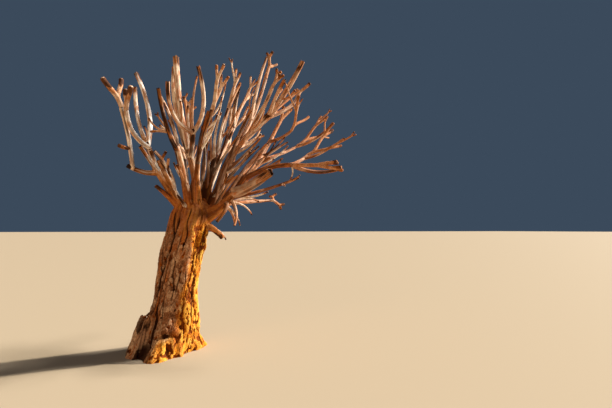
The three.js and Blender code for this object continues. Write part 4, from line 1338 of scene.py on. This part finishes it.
def skin_piece(name, branches, voxel, buried=0.0):
    """Limbs or twigs fused to one smooth skin: long wrinkles and shallow dents along the grain, with
    scaling bark where a bough leaves the trunk. Keeps the grain, tone, bark, cracks, end and char of
    each point."""
    shells = []
    for branch in branches:
        low = buried / branch.length if branch.is_bough else 0.0
        shells.append(tube(branch, SKIN_SIDES, SKIN_SPACING, low))
    piece = fused(name, shells, voxel, SMOOTHING)
    mesh = piece.data
    points = points_of(mesh)
    normals = normals_of(mesh)
    lines = Lines()
    for number, branch in enumerate(branches):
        lines.add_branch(branch, number)
    owner, along, girth, off_middle, grain = lines.locate(points)

    def owned(field):
        """That value of the branch that each point lies on."""
        return np.array([getattr(branch, field) for branch in branches])[owner]

    thinning = ramp(along + 0.12 * noise(points, 0.09, seed=5), *BARK_REACH)
    bark = np.where(owned("is_bough"), 1 - thinning, 0)
    wrinkle = fractal(grain, LIMB_WRINKLE_SIZE, 2, seed=13)
    fold = fractal(grain, LIMB_FOLD_SIZE, 2, seed=23)
    dents = fractal(points, 0.07, 2, seed=17)
    depth, value, _ = plates(grain, LIMB_SCALE_SIZE, seed=19)
    joint = 1 - ramp(depth, 0, 0.2)
    split = lines_in(grain, LIMB_SPLIT_SIZE, 29, 0.05) * ramp(noise(points, 0.2, seed=37), 0, 0.3)
    furrows = LIMB_WRINKLE_DEPTH * wrinkle + LIMB_DENT_DEPTH * dents - LIMB_SPLIT_DEPTH * split
    relief = np.clip(girth / 0.045, 0.35, 1.2) * furrows
    relief += np.clip(girth / 0.05, 0, 1.3) ** 2 * LIMB_FOLD_DEPTH * fold
    relief += bark * (LIMB_SCALE_DEPTH * value - LIMB_JOINT_DEPTH * joint)
    move_points(mesh, points + normals * relief[:, None])

    free = owned("is_free")
    lengths = owned("length")
    rusty = free * ramp(along, lengths - RUSTY_END_REACH, lengths - 0.55 * RUSTY_END_REACH)
    hollow = free * (along > lengths - RUSTY_END_REACH) * (off_middle < HOLLOW_SHARE)
    rim = free * ramp(along, lengths - 0.45 * girth, lengths) * 0.6
    burning = ramp(along, lengths - 0.5 * RUSTY_END_REACH, lengths - 0.2 * RUSTY_END_REACH)
    # Char along the left side, away from the key light, which also paints shade there
    char_and_painted_shade = ramp(0.4 * noise(points, 0.06, seed=75) - normals[:, 0], -0.1, 0.3)
    char = np.max([hollow, rim, owned("burnt") * burning, owned("charred_and_shaded") * char_and_painted_shade], axis=0)
    # Painted light: the side facing the lamps is paler and shows less bark
    lit_facing = normals @ PAINTED_LIGHT_WAY
    painted_lit_bareness = 0.7 * ramp(lit_facing + 0.4 * noise(points, 0.08, seed=79), 0.3, 0.7)
    dark = split + 0.8 * ramp(-fold, 0.3, 0.6) + bark * joint * 0.5
    # Painted shade and dirt in the crotches darken the limbs
    dark += LIMB_CROTCH_SHADE * painted_crotch_shade(points, normals)
    tone = owned("tone") + WRINKLE_TONE * wrinkle + FOLD_TONE * fold + PAINTED_LIGHT_TONE * lit_facing
    store(mesh, "grain", grain)
    store(mesh, "tone", tone)
    store(mesh, "bark", bark * (1 - painted_lit_bareness))
    # The crack darkness holds splits, fold hollows, bark joints, and painted shade and dirt in the
    # crotches
    store(mesh, "crack", np.clip(dark, 0, 1))
    store(mesh, "end", rusty)
    store(mesh, "char", np.clip(char, 0, 1))
    return piece


# Finishes

# How glossy every surface is, and how rough the noise in its colours
GLOSS = 0.08
NOISE_ROUGHNESS = 0.6


def colour(red, green, blue):
    """A screen colour from 0 to 255 as the linear colour that a shader takes."""
    screen = np.array([red, green, blue]) / 255
    linear = np.where(screen <= 0.04045, screen / 12.92, ((screen + 0.055) / 1.055) ** 2.4)
    return (*(float(channel) for channel in linear), 1.0)


class Finish:
    """A material made of nodes. Each method adds a node and gives its output."""

    def __init__(self, name, roughness):
        self.material = bpy.data.materials.new(name)
        self.material.use_nodes = True
        self.tree = self.material.node_tree
        self.shader = self.tree.nodes["Principled BSDF"]
        self.shader.inputs["Roughness"].default_value = roughness
        self.shader.inputs["Specular IOR Level"].default_value = GLOSS

    def add(self, kind, inputs, output=0, **settings):
        """A shader node of that kind, with its inputs linked to sockets or set to values."""
        node = self.tree.nodes.new("ShaderNode" + kind)
        for key, value in settings.items():
            setattr(node, key, value)
        for key, value in inputs.items():
            if isinstance(value, bpy.types.NodeSocket):
                self.tree.links.new(value, node.inputs[key])
            else:
                node.inputs[key].default_value = value
        return node.outputs[output]

    def attribute(self, name, output="Fac"):
        """A value that the mesh keeps for each point."""
        return self.add("Attribute", {}, output, attribute_name=name)

    def place(self):
        """Each point's place, which moves with the object."""
        return self.add("TexCoord", {}, "Object")

    def squeezed(self, vector, stretch):
        """Coordinates times `stretch`, one share for each direction."""
        return self.add("Mapping", {"Vector": vector, "Scale": stretch})

    def noise(self, vector, stretch, scale, detail=4.0):
        """Noise from 0 to 1 on squeezed coordinates."""
        place = self.squeezed(vector, stretch)
        inputs = {"Vector": place, "Scale": scale, "Detail": detail, "Roughness": NOISE_ROUGHNESS}
        return self.add("TexNoise", inputs)

    def ramp(self, value, stops):
        """Colours blended evenly from stop to stop, each a position and a colour."""
        shade = self.add("ValToRGB", {"Fac": value})
        elements = shade.node.color_ramp.elements
        while len(elements) < len(stops):
            elements.new(0.5)
        for element, (position, tint) in zip(elements, stops):
            element.position = position
            element.color = tint
        return shade

    def range(self, value, low, high, to_low=0.0, to_high=1.0):
        """A smooth rise from `to_low` at the low value to `to_high` at the high one."""
        inputs = {
            "Value": value, "From Min": low, "From Max": high, "To Min": to_low, "To Max": to_high,
        }
        return self.add("MapRange", inputs, interpolation_type="SMOOTHSTEP")

    def math(self, operation, first, second):
        """Two values put together and kept from 0 to 1."""
        return self.add("Math", {0: first, 1: second}, operation=operation, use_clamp=True)

    def mix(self, share, first, second):
        """The first colour turned to the second by that share."""
        return self.add("Mix", {0: share, 6: first, 7: second}, 2, data_type="RGBA")

    def finished(self, base, height, strength, distance):
        """The material, with its colour and its fine relief linked to the shader."""
        relief = self.add("Bump", {"Height": height, "Strength": strength, "Distance": distance})
        self.tree.links.new(base, self.shader.inputs["Base Color"])
        self.tree.links.new(relief, self.shader.inputs["Normal"])
        return self.material


CRACK = colour(44, 20, 8)
RUSTY_CRACK = colour(104, 50, 12)
RUST_PATCH = colour(186, 98, 32)
BROWN_STREAK = colour(92, 50, 24)
PIT_RIM = colour(172, 86, 16)
PIT_FLOOR = colour(104, 48, 6)
TORN_WOOD = colour(158, 92, 38)
CHARRED_WOOD = colour(40, 22, 13)
GOLDEN = [(0.0, colour(180, 92, 10)), (0.4, colour(228, 148, 38)), (1.0, colour(246, 196, 90))]
WEATHERED = [(0.0, colour(84, 44, 20)), (0.5, colour(164, 110, 74)), (1.0, colour(216, 172, 134))]
UPPER_BARK = [(0.0, colour(88, 34, 0)), (0.5, colour(162, 76, 4)), (1.0, colour(204, 130, 40))]
# Small scales of bark: how many fit in a metre, how much longer they are than wide, and joint width
SCALES_PER_METRE = 52.0
SCALE_STRETCH = (1, 1, 0.5)
SCALE_JOINT = 0.12


def bark_colour(finish, grain, place, plate, gold_and_lit, smooth, crack, pit):
    """Golden new scales, whose share also paints light on the lit side, and greyer weathered ones,
    with smooth rust-brown bark higher up, streaks down the grain, small scales, and dark joints and
    pits."""
    speckle = finish.noise(place, (1, 1, 1), 38.0)
    shade = finish.math("ADD", plate, finish.range(speckle, 0.25, 0.75, -0.25, 0.25))
    base = finish.mix(gold_and_lit, finish.ramp(shade, WEATHERED), finish.ramp(shade, GOLDEN))
    patch = finish.noise(grain, (1, 1, 0.3), 9.0, 3.0)
    base = finish.mix(finish.range(patch, 0.52, 0.66, 0, 0.7), base, RUST_PATCH)
    streak = finish.noise(grain, (1, 1, 0.08), 26.0)
    upper = finish.ramp(finish.range(streak, 0.3, 0.7), UPPER_BARK)
    base = finish.mix(finish.math("MULTIPLY", smooth, 0.7), base, upper)
    base = finish.mix(finish.range(streak, 0.58, 0.76, 0, 0.6), base, BROWN_STREAK)
    base = finish.mix(finish.range(pit, 0.1, 0.6), base, PIT_RIM)
    base = finish.mix(finish.range(pit, 0.6, 1.0, 0, 0.8), base, PIT_FLOOR)
    speck = finish.noise(grain, SCALE_STRETCH, SCALES_PER_METRE, 2.0)
    dark = finish.math("MAXIMUM", crack, finish.range(speck, 0.66, 0.76, 0, 0.8))
    # Cracks are painted browner on the gold side, as painted light
    return finish.mix(dark, base, finish.mix(gold_and_lit, CRACK, RUSTY_CRACK))


def scale_pattern(finish, grain):
    """Small scales along the grain: 0 on the joints between them and 1 inside."""
    inputs = {"Vector": finish.squeezed(grain, SCALE_STRETCH), "Scale": SCALES_PER_METRE}
    cells = finish.add("TexVoronoi", inputs, feature="DISTANCE_TO_EDGE")
    return finish.range(cells, 0.0, SCALE_JOINT)


def bark_material():
    """The trunk's bark, with the joints of its small scales darker where it isn't smooth."""
    finish = Finish("flaky_bark", 0.82)
    grain = finish.attribute("grain", "Vector")
    fields = [finish.attribute(name) for name in ("plate", "gold_and_lit", "smooth", "crack", "pit")]
    smooth = fields[2]
    base = bark_colour(finish, grain, finish.place(), *fields)
    scales = scale_pattern(finish, grain)
    joints = finish.math("MULTIPLY", finish.math("SUBTRACT", 1.0, scales), 0.45)
    joints = finish.math("MULTIPLY", joints, finish.math("SUBTRACT", 1.0, smooth))
    base = finish.mix(joints, base, CRACK)
    fine = finish.noise(grain, (1, 1, 0.35), 110.0, 6.0)
    return finish.finished(base, finish.math("MULTIPLY", fine, scales), 0.6, 0.006)


def skin_material(name, dark, body, pale, warm):
    """Smooth weathered skin: the tone of each limb, powdery pale streaks and dark stains along the
    grain, warm patches, bark near the trunk, rusty free ends, and scorched or hollow dark ones."""
    finish = Finish(name, 0.62)
    grain = finish.attribute("grain", "Vector")
    place = finish.place()
    tone, bark, crack, end, char = map(finish.attribute, ("tone", "bark", "crack", "end", "char"))
    broad = finish.noise(place, (1, 1, 1), 4.5, 3.0)
    shade = finish.math("ADD", tone, finish.range(broad, 0.3, 0.7, -0.22, 0.22))
    base = finish.ramp(shade, [(0.05, dark), (0.5, body), (0.95, pale)])
    patch = finish.noise(place, (1, 1, 0.6), 7.0)
    base = finish.mix(finish.range(patch, 0.50, 0.62, 0, 0.7), base, warm)
    streak = finish.noise(grain, (1, 1, 0.10), 25.0, 3.0)
    # The tone, which holds painted light on the lit side, makes that side more powdery and less
    # stained
    powdery = finish.range(tone, 0, 0.5, 0.1, 0.85)
    powder = finish.math("MULTIPLY", finish.range(streak, 0.48, 0.58), powdery)
    base = finish.mix(powder, base, pale)
    stain = finish.noise(grain, (1, 1, 0.12), 21.0)
    staining = finish.range(tone, 0.4, 1.1, 0.9, 0.25)
    stained = finish.math("MULTIPLY", finish.range(stain, 0.51, 0.59), staining)
    base = finish.mix(stained, base, dark)
    furrow = finish.noise(grain, (1, 1, 0.06), 60.0, 2.0)
    base = finish.mix(finish.range(furrow, 0.56, 0.66, 0, 0.8), base, warm)
    speck = finish.noise(grain, (1, 1, 0.4), 60.0, 2.0)
    base = finish.mix(finish.range(speck, 0.66, 0.74, 0, 0.7), base, CRACK)
    plate = finish.range(patch, 0.3, 0.7)
    fissure = finish.range(stain, 0.54, 0.62, 0, 0.8)
    flaky = bark_colour(finish, grain, place, plate, 0.2, 0.9, fissure, 0.0)
    base = finish.mix(finish.math("MULTIPLY", bark, 0.9), base, flaky)
    base = finish.mix(finish.math("MULTIPLY", crack, 0.8), base, CRACK)
    ragged = finish.math("MULTIPLY", end, finish.range(furrow, 0.35, 0.55, 0.4, 1.0))
    base = finish.mix(ragged, base, TORN_WOOD)
    torn = finish.math("MULTIPLY", end, finish.range(stain, 0.47, 0.55, 0, 0.9))
    base = finish.mix(finish.math("MAXIMUM", torn, char), base, CHARRED_WOOD)
    fine = finish.noise(grain, (1, 1, 0.2), 110.0, 5.0)
    return finish.finished(base, fine, 0.4, 0.004)


def twig_material(name, base, second):
    """A plain base colour with soft mottling towards a second one, and dark specks."""
    finish = Finish(name, 0.66)
    place = finish.place()
    mottle = finish.noise(place, (1, 1, 0.5), 22.0)
    shade = finish.mix(finish.range(mottle, 0.40, 0.62, 0, 0.85), base, second)
    speck = finish.noise(place, (1, 1, 0.6), 55.0, 2.0)
    shade = finish.mix(finish.range(speck, 0.66, 0.74, 0, 0.6), shade, CRACK)
    fine = finish.noise(place, (1, 1, 0.4), 160.0)
    return finish.finished(shade, fine, 0.4, 0.003)


# Families of limbs: the boughs they spring from, and their dark, body, pale and warm colours
FAMILIES = {
    # The left family's colours are lifted: partly its own paleness, partly painted light against the
    # crown's shade
    "left": (
        ("bough_left", "stub_shoulder"),
        (colour(130, 76, 32), colour(240, 204, 170), colour(255, 250, 244), colour(208, 134, 66)),
    ),
    "centre": (
        ("bough_centre_left", "bough_centre"),
        (colour(56, 24, 4), colour(202, 152, 114), colour(234, 212, 190), colour(176, 96, 30)),
    ),
    "middle": (
        ("limb_mid_dark", "bough_mid", "bough_back", "bough_back_left"),
        (colour(58, 26, 6), colour(194, 144, 108), colour(226, 204, 182), colour(170, 90, 28)),
    ),
    "high": (
        ("bough_right_up",),
        (colour(100, 54, 22), colour(206, 156, 122), colour(204, 172, 146), colour(184, 106, 48)),
    ),
    "right": (
        ("bough_right", "stub_orange"),
        (colour(104, 54, 20), colour(202, 146, 108), colour(194, 158, 132), colour(184, 104, 42)),
    ),
}
TWIG_COLOURS = {
    "pale": (colour(232, 214, 196), colour(180, 134, 100)),
    "blush": (colour(212, 180, 154), colour(176, 122, 82)),
    "tan": (colour(194, 150, 118), colour(156, 100, 58)),
    "orange": (colour(188, 132, 92), colour(160, 96, 48)),
    "rust": (colour(154, 90, 36), colour(100, 54, 20)),
    "dark": (colour(96, 58, 34), colour(58, 34, 20)),
    "black": (colour(44, 25, 15), colour(70, 40, 22)),
}
# Tone of each limb, from 0, dark, to 1, pale, and how its free end looks, where it isn't a mass
LOOKS = {
    "bough_left": (0.2, "open"), "bough_centre_left": (0.5, "open"), "bough_centre": (0.55, "open"),
    "bough_mid": (0.25, "open"), "limb_mid_dark": (0.3, "open"), "bough_right_up": (0.5, "open"),
    "bough_right": (0.1, "open"), "bough_back": (0.4, "open"), "bough_back_left": (0.45, "open"),
    "stub_shoulder": (0.2, "torn"), "stub_orange": (0.25, "torn"),
    "limb_left_low": (0.15, "torn"), "limb_left_outer": (0.7, "open"),
    "limb_left_inner": (0.55, "blunt"), "limb_left_lit": (0.85, "open"),
    "limb_left_tall": (0.8, "hollow"), "limb_left_back": (0.6, "torn"),
    # limb_dark's darkest tone is partly painted shade
    "limb_left_pair": (0.85, "torn"), "limb_dark": (0.0, "torn"), "limb_pale": (0.6, "torn"),
    "limb_tall": (1.0, "hollow"), "limb_y_stem": (0.8, "blunt"), "limb_y_left": (0.8, "torn"),
    "limb_y_right": (0.75, "hollow"), "limb_centre_small": (0.5, "open"),
    "limb_mid_near": (0.75, "open"), "limb_mid_far": (0.6, "open"), "limb_fat": (0.9, "hollow"),
    "limb_thick_end": (0.75, "hollow"), "limb_right_end": (0.65, "open"),
    "limb_fork_inner": (0.75, "torn"), "limb_top": (0.6, "open"), "limb_top_side": (0.65, "open"),
    "limb_right_low": (0.1, "open"), "limb_right_mid": (0.3, "open"), "limb_right_up": (0.35, "open"),
    "limb_right_top": (0.35, "open"), "limb_right_arch": (0.45, "open"), "stump_fat": (1.2, "hollow"),
    "limb_orange": (0.25, "torn"), "limb_low": (0.3, "open"), "limb_down": (0.5, "torn"),
}
# Limbs whose free ends are scorched nearly black
BURNT = {
    "limb_left_low": 1.0, "limb_left_tall": 0.6, "limb_left_back": 0.5, "limb_dark": 0.4,
    "stub_shoulder": 0.8,
}
# Limbs that are charred along their left side, away from the key light, and painted darker there as
# shade
CHARRED_AND_SHADED = {"limb_dark": 0.95}
# Colours that the finer twigs of each family are dealt from
FINE_MIX = {
    "left": ("pale", "blush"),
    "centre": ("blush", "tan"),
    "middle": ("pale", "blush", "tan"),
    "high": ("blush", "tan"),
    "right": ("orange", "tan"),
}
# Colour of the thick twigs of each family
MASS_COLOURS = {
    "left": "blush", "centre": "blush", "middle": "blush", "high": "tan", "right": "orange",
}


# Assembly

# Tip radius that the twigs of each family thin to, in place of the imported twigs' one for all
DRY_TIP_RADIUS = {"left": 0.025, "centre": 0.011, "middle": 0.010, "high": 0.016, "right": 0.017}
FINE_SEED = 7
# Share of the blunt twigs of each family that end in a pair of fingers
FORKED_SHARE = {"left": 0.0, "centre": 0.8, "middle": 0.75, "high": 0.7, "right": 0.6}
# Dry sleeves on the last stretch of the twigs, one in the next: colour, share of the twigs, reach,
# and how much wider than the twig. The dark pith inside comes last.
SLEEVES = [
    ("orange", 0.85, (0.07, 0.20), 1.04),
    ("rust", 0.75, (0.04, 0.11), 1.09),
    ("dark", 0.55, (0.02, 0.06), 1.14),
]
SLEEVE_RAG = 0.45
# The dark sleeves on the thick twigs at the left are longer
SCORCHED_REACH = (0.06, 0.11)
# How far the sleeves reach in each family, and on the thin twigs, as a share of the reach above
DRYNESS = {"left": 1.0, "centre": 0.5, "middle": 0.45, "high": 0.8, "right": 1.0, "thin": 0.6}
PITH_REACH = 0.05
PITH_WIDTH = 0.66
TIP_SIDES = 12
TIP_SPACING = 0.008
THIN_SIDES = 10
THIN_SPACING = 0.018
# How far up a bough its own skin starts, inside the trunk's
FOOT_BURIED = 0.12


def limb_on(carrier, share, tip, bend, radii):
    """A limb that leaves its carrier at that share of its way."""
    return make_limb(carrier.point(share), sighted(tip), bend, radii, COLLAR_ON_LIMB)


def place_limbs():
    """All limbs by name, with their looks, and the family of each: the boughs out of the trunk, the
    limbs out of other limbs, and the inner limbs."""
    placed = {}
    family_of = {root: family for family, (roots, _) in FAMILIES.items() for root in roots}
    for name, foot, tip, bend, radii in TRUNK_BOUGHS:
        placed[name] = make_limb(sighted(foot), sighted(tip), bend, radii, COLLAR_ON_TRUNK)
    for name, carrier, *shape in LIMBS:
        placed[name] = limb_on(placed[carrier], *shape)
        family_of[name] = family_of[carrier]
    for name, (tone, end) in LOOKS.items():
        placed[name].tone = tone
        placed[name].end = end
        placed[name].burnt = BURNT.get(name, 0.0)
        placed[name].charred_and_shaded = CHARRED_AND_SHADED.get(name, 0.0)
    for number, (carrier, *shape, tone, end) in enumerate(INNER_LIMBS):
        inner = limb_on(placed[carrier], *shape)
        inner.tone = tone
        inner.end = end
        placed[f"inner_{number}"] = inner
        family_of[f"inner_{number}"] = family_of[carrier]
    return placed, family_of


def grow_thick_twigs():
    """The masses of twigs, which thin out evenly from the limb's girth towards their family's tip
    radius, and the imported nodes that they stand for."""
    twigs_in = {family: [] for family in FAMILIES}
    nodes_in = {family: [] for family in FAMILIES}
    for carrier, *shape in MASSES:
        twigs = grow_mass(limbs[carrier], *shape, obstacles)
        for twig in twigs:
            obstacles.add(twig)
        family = family_of[carrier]
        stem_radius = float(limbs[carrier].radius(1))
        thinning = (stem_radius - DRY_TIP_RADIUS[family]) / (stem_radius - TWIG_TIP_RADIUS)
        for twig in twigs:
            twig.radii = stem_radius - (stem_radius - np.array(twig.radii)) * thinning
        twigs_in[family] += twigs
        nodes_in[family].append(carrier.replace("limb_", "twigs_").replace("bough_", "twigs_"))
    return twigs_in, nodes_in


def grow_thin_twigs():
    """Thin twigs by colour: the dead shoots, then finer twigs off the masses. Some twigs of the
    masses end in fingers, which join the masses."""
    thin = {tint: [] for tint in TWIG_COLOURS}
    for carrier, *shape, tint in SHOOTS:
        shoot = limb_on(limbs[carrier], *shape)
        shoot.end = "blunt"
        obstacles.add(shoot)
        thin[tint].append(shoot)
    for number, family in enumerate(FAMILIES):
        draw = seeded(FINE_SEED + number)
        mix = FINE_MIX[family]
        blunt_twigs = [twig for twig in thick_twigs[family] if twig.end == "blunt"]
        for twig in blunt_twigs:
            tint = mix[int(draw() * len(mix))]
            thin[tint] += grow_finer(twig, draw, obstacles)
            if draw() < FORKED_SHARE[family]:
                thick_twigs[family] += end_in_fingers(twig, draw, obstacles)
    return thin


def tip_tube(twig, reach, swell, end):
    """A short tube round the last stretch of a twig, with a ragged lower edge."""
    low = max(0.0, 1 - reach / twig.length)
    ragged = SLEEVE_RAG * (1 - low) * twig.length
    return tube(twig, TIP_SIDES, TIP_SPACING, low, 1.0, swell, end, ragged)


def dress(piece, material, nodes=()):
    """Gives a piece its finish, lets it ride the part's body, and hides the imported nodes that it
    stands for."""
    piece.data.materials.clear()
    piece.data.materials.append(material)
    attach(piece, "root")
    if nodes:
        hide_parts(*nodes)


def dress_limbs(family, shades):
    """The skin of a family's limbs, and the skin of its thick twigs."""
    names = [name for name in limbs if family_of[name] == family]
    nodes = [name for name in names if name in LOOKS]
    skin = skin_piece(f"limbs_{family}", [limbs[name] for name in names], LIMB_VOXEL, FOOT_BURIED)
    dress(skin, skin_material(f"skin_{family}", *shades), nodes)
    skin = skin_piece(f"thick_twigs_{family}", thick_twigs[family], TWIG_VOXEL)
    dress(skin, twig_materials[MASS_COLOURS[family]], twig_nodes[family])


def dress_twigs(name, shells, tint):
    """Many closed shells as one piece in one of the twigs' finishes."""
    dress(mesh_object(name, *joined(shells)), twig_materials[tint])


def dress_tips():
    """Dry sleeves and a dark pith on every blunt end."""
    twigs_of = {**thick_twigs, "thin": list(itertools.chain(*thin_twigs.values()))}
    tips = [
        (twig, family) for family, twigs in twigs_of.items() for twig in twigs if twig.end == "blunt"
    ]
    draw = seeded(FINE_SEED)
    for tint, share, reach, wider in SLEEVES:
        sleeves = []
        for twig, family in tips:
            if family == "left" or draw() < share:
                limits = SCORCHED_REACH if family == "left" and tint == "dark" else reach
                length = between(limits, draw) * DRYNESS[family]
                sleeves.append(tip_tube(twig, length, wider, "torn"))
        dress_twigs(f"tip_sleeves_{tint}", sleeves, tint)
    piths = [tip_tube(twig, PITH_REACH, PITH_WIDTH, "pith") for twig, _ in tips]
    dress_twigs("tip_piths", piths, "black")


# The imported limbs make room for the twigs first, and the inner limbs once the masses have grown
limbs, family_of = place_limbs()
obstacles = Obstacles()
for name in limbs:
    if name in LOOKS:
        obstacles.add(limbs[name])
thick_twigs, twig_nodes = grow_thick_twigs()
for name in limbs:
    if name not in LOOKS:
        obstacles.add(limbs[name])
thin_twigs = grow_thin_twigs()

dress(trunk_piece([limbs[name] for name, *_ in TRUNK_BOUGHS]), bark_material(), ["trunk"])
twig_materials = {
    tint: twig_material(f"twig_{tint}", *shades) for tint, shades in TWIG_COLOURS.items()
}
for family, (_, shades) in FAMILIES.items():
    dress_limbs(family, shades)
for tint, branches in thin_twigs.items():
    if branches:
        tubes = [tube(twig, THIN_SIDES, THIN_SPACING) for twig in branches]
        dress_twigs(f"thin_twigs_{tint}", tubes, tint)
dress_tips()


# Stage

FLOOR_HALF = 300.0
FLOOR_COLOUR = colour(176, 160, 136)
EYE_TURN = math.radians(18.7)
EYE_LIFT = math.radians(3.58)
LENS = 24
SENSOR_WIDTH = 36
SKY_COLOUR = colour(132, 162, 196)
SKY_STRENGTH = 0.19
# Lamps: strength, how wide they look, tint, and the way they shine from
LAMPS = {
    "key_light": (7.4, math.radians(3), (1.0, 0.92, 0.80), (0.95, 0.10, 0.36)),
    "high_light": (3.2, math.radians(8), (1.0, 0.96, 0.92), (0.62, 0.06, 0.78)),
    "fill_light": (1.08, math.radians(60), (1.0, 0.68, 0.34), (-0.6, -1.0, 0.3)),
}


def set_stage():
    """A plain pale floor, a pale blue sky, two warm lights from the right, and a soft one from the
    left in front."""
    corners = FLOOR_HALF * np.array([(-1, -1, 0), (1, -1, 0), (1, 1, 0), (-1, 1, 0)])
    floor = mesh_object("floor", corners, np.array([[0, 1, 2, 3]]), np.zeros((0, 3), int))
    finish = Finish("pale_floor", 0.9)
    finish.shader.inputs["Base Color"].default_value = FLOOR_COLOUR
    floor.data.materials.append(finish.material)
    world = bpy.data.worlds.new("soft_sky")
    world.use_nodes = True
    sky = world.node_tree.nodes["Background"]
    sky.inputs["Color"].default_value = SKY_COLOUR
    sky.inputs["Strength"].default_value = SKY_STRENGTH
    bpy.context.scene.world = world
    for name, (strength, softness, tint, way) in LAMPS.items():
        lamp = bpy.data.lights.new(name, "SUN")
        lamp.energy = strength
        lamp.angle = softness
        lamp.color = tint
        light = bpy.data.objects.new(name, lamp)
        light.rotation_euler = Vector(way).to_track_quat("Z", "Y").to_euler()
        bpy.context.scene.collection.objects.link(light)


def set_camera():
    """A standing person's eye in front of the tree, which stands left of the view's middle."""
    lens = bpy.data.cameras.new("eye")
    lens.sensor_width = SENSOR_WIDTH
    lens.lens = LENS
    camera = bpy.data.objects.new("eye", lens)
    camera.location = (0, -EYE_DISTANCE, EYE_UP)
    camera.rotation_euler = (math.pi / 2 + EYE_LIFT, 0, -EYE_TURN)
    bpy.context.scene.collection.objects.link(camera)
    bpy.context.scene.camera = camera


set_camera()
set_stage()
bpy.context.scene.view_settings.view_transform = "Standard"
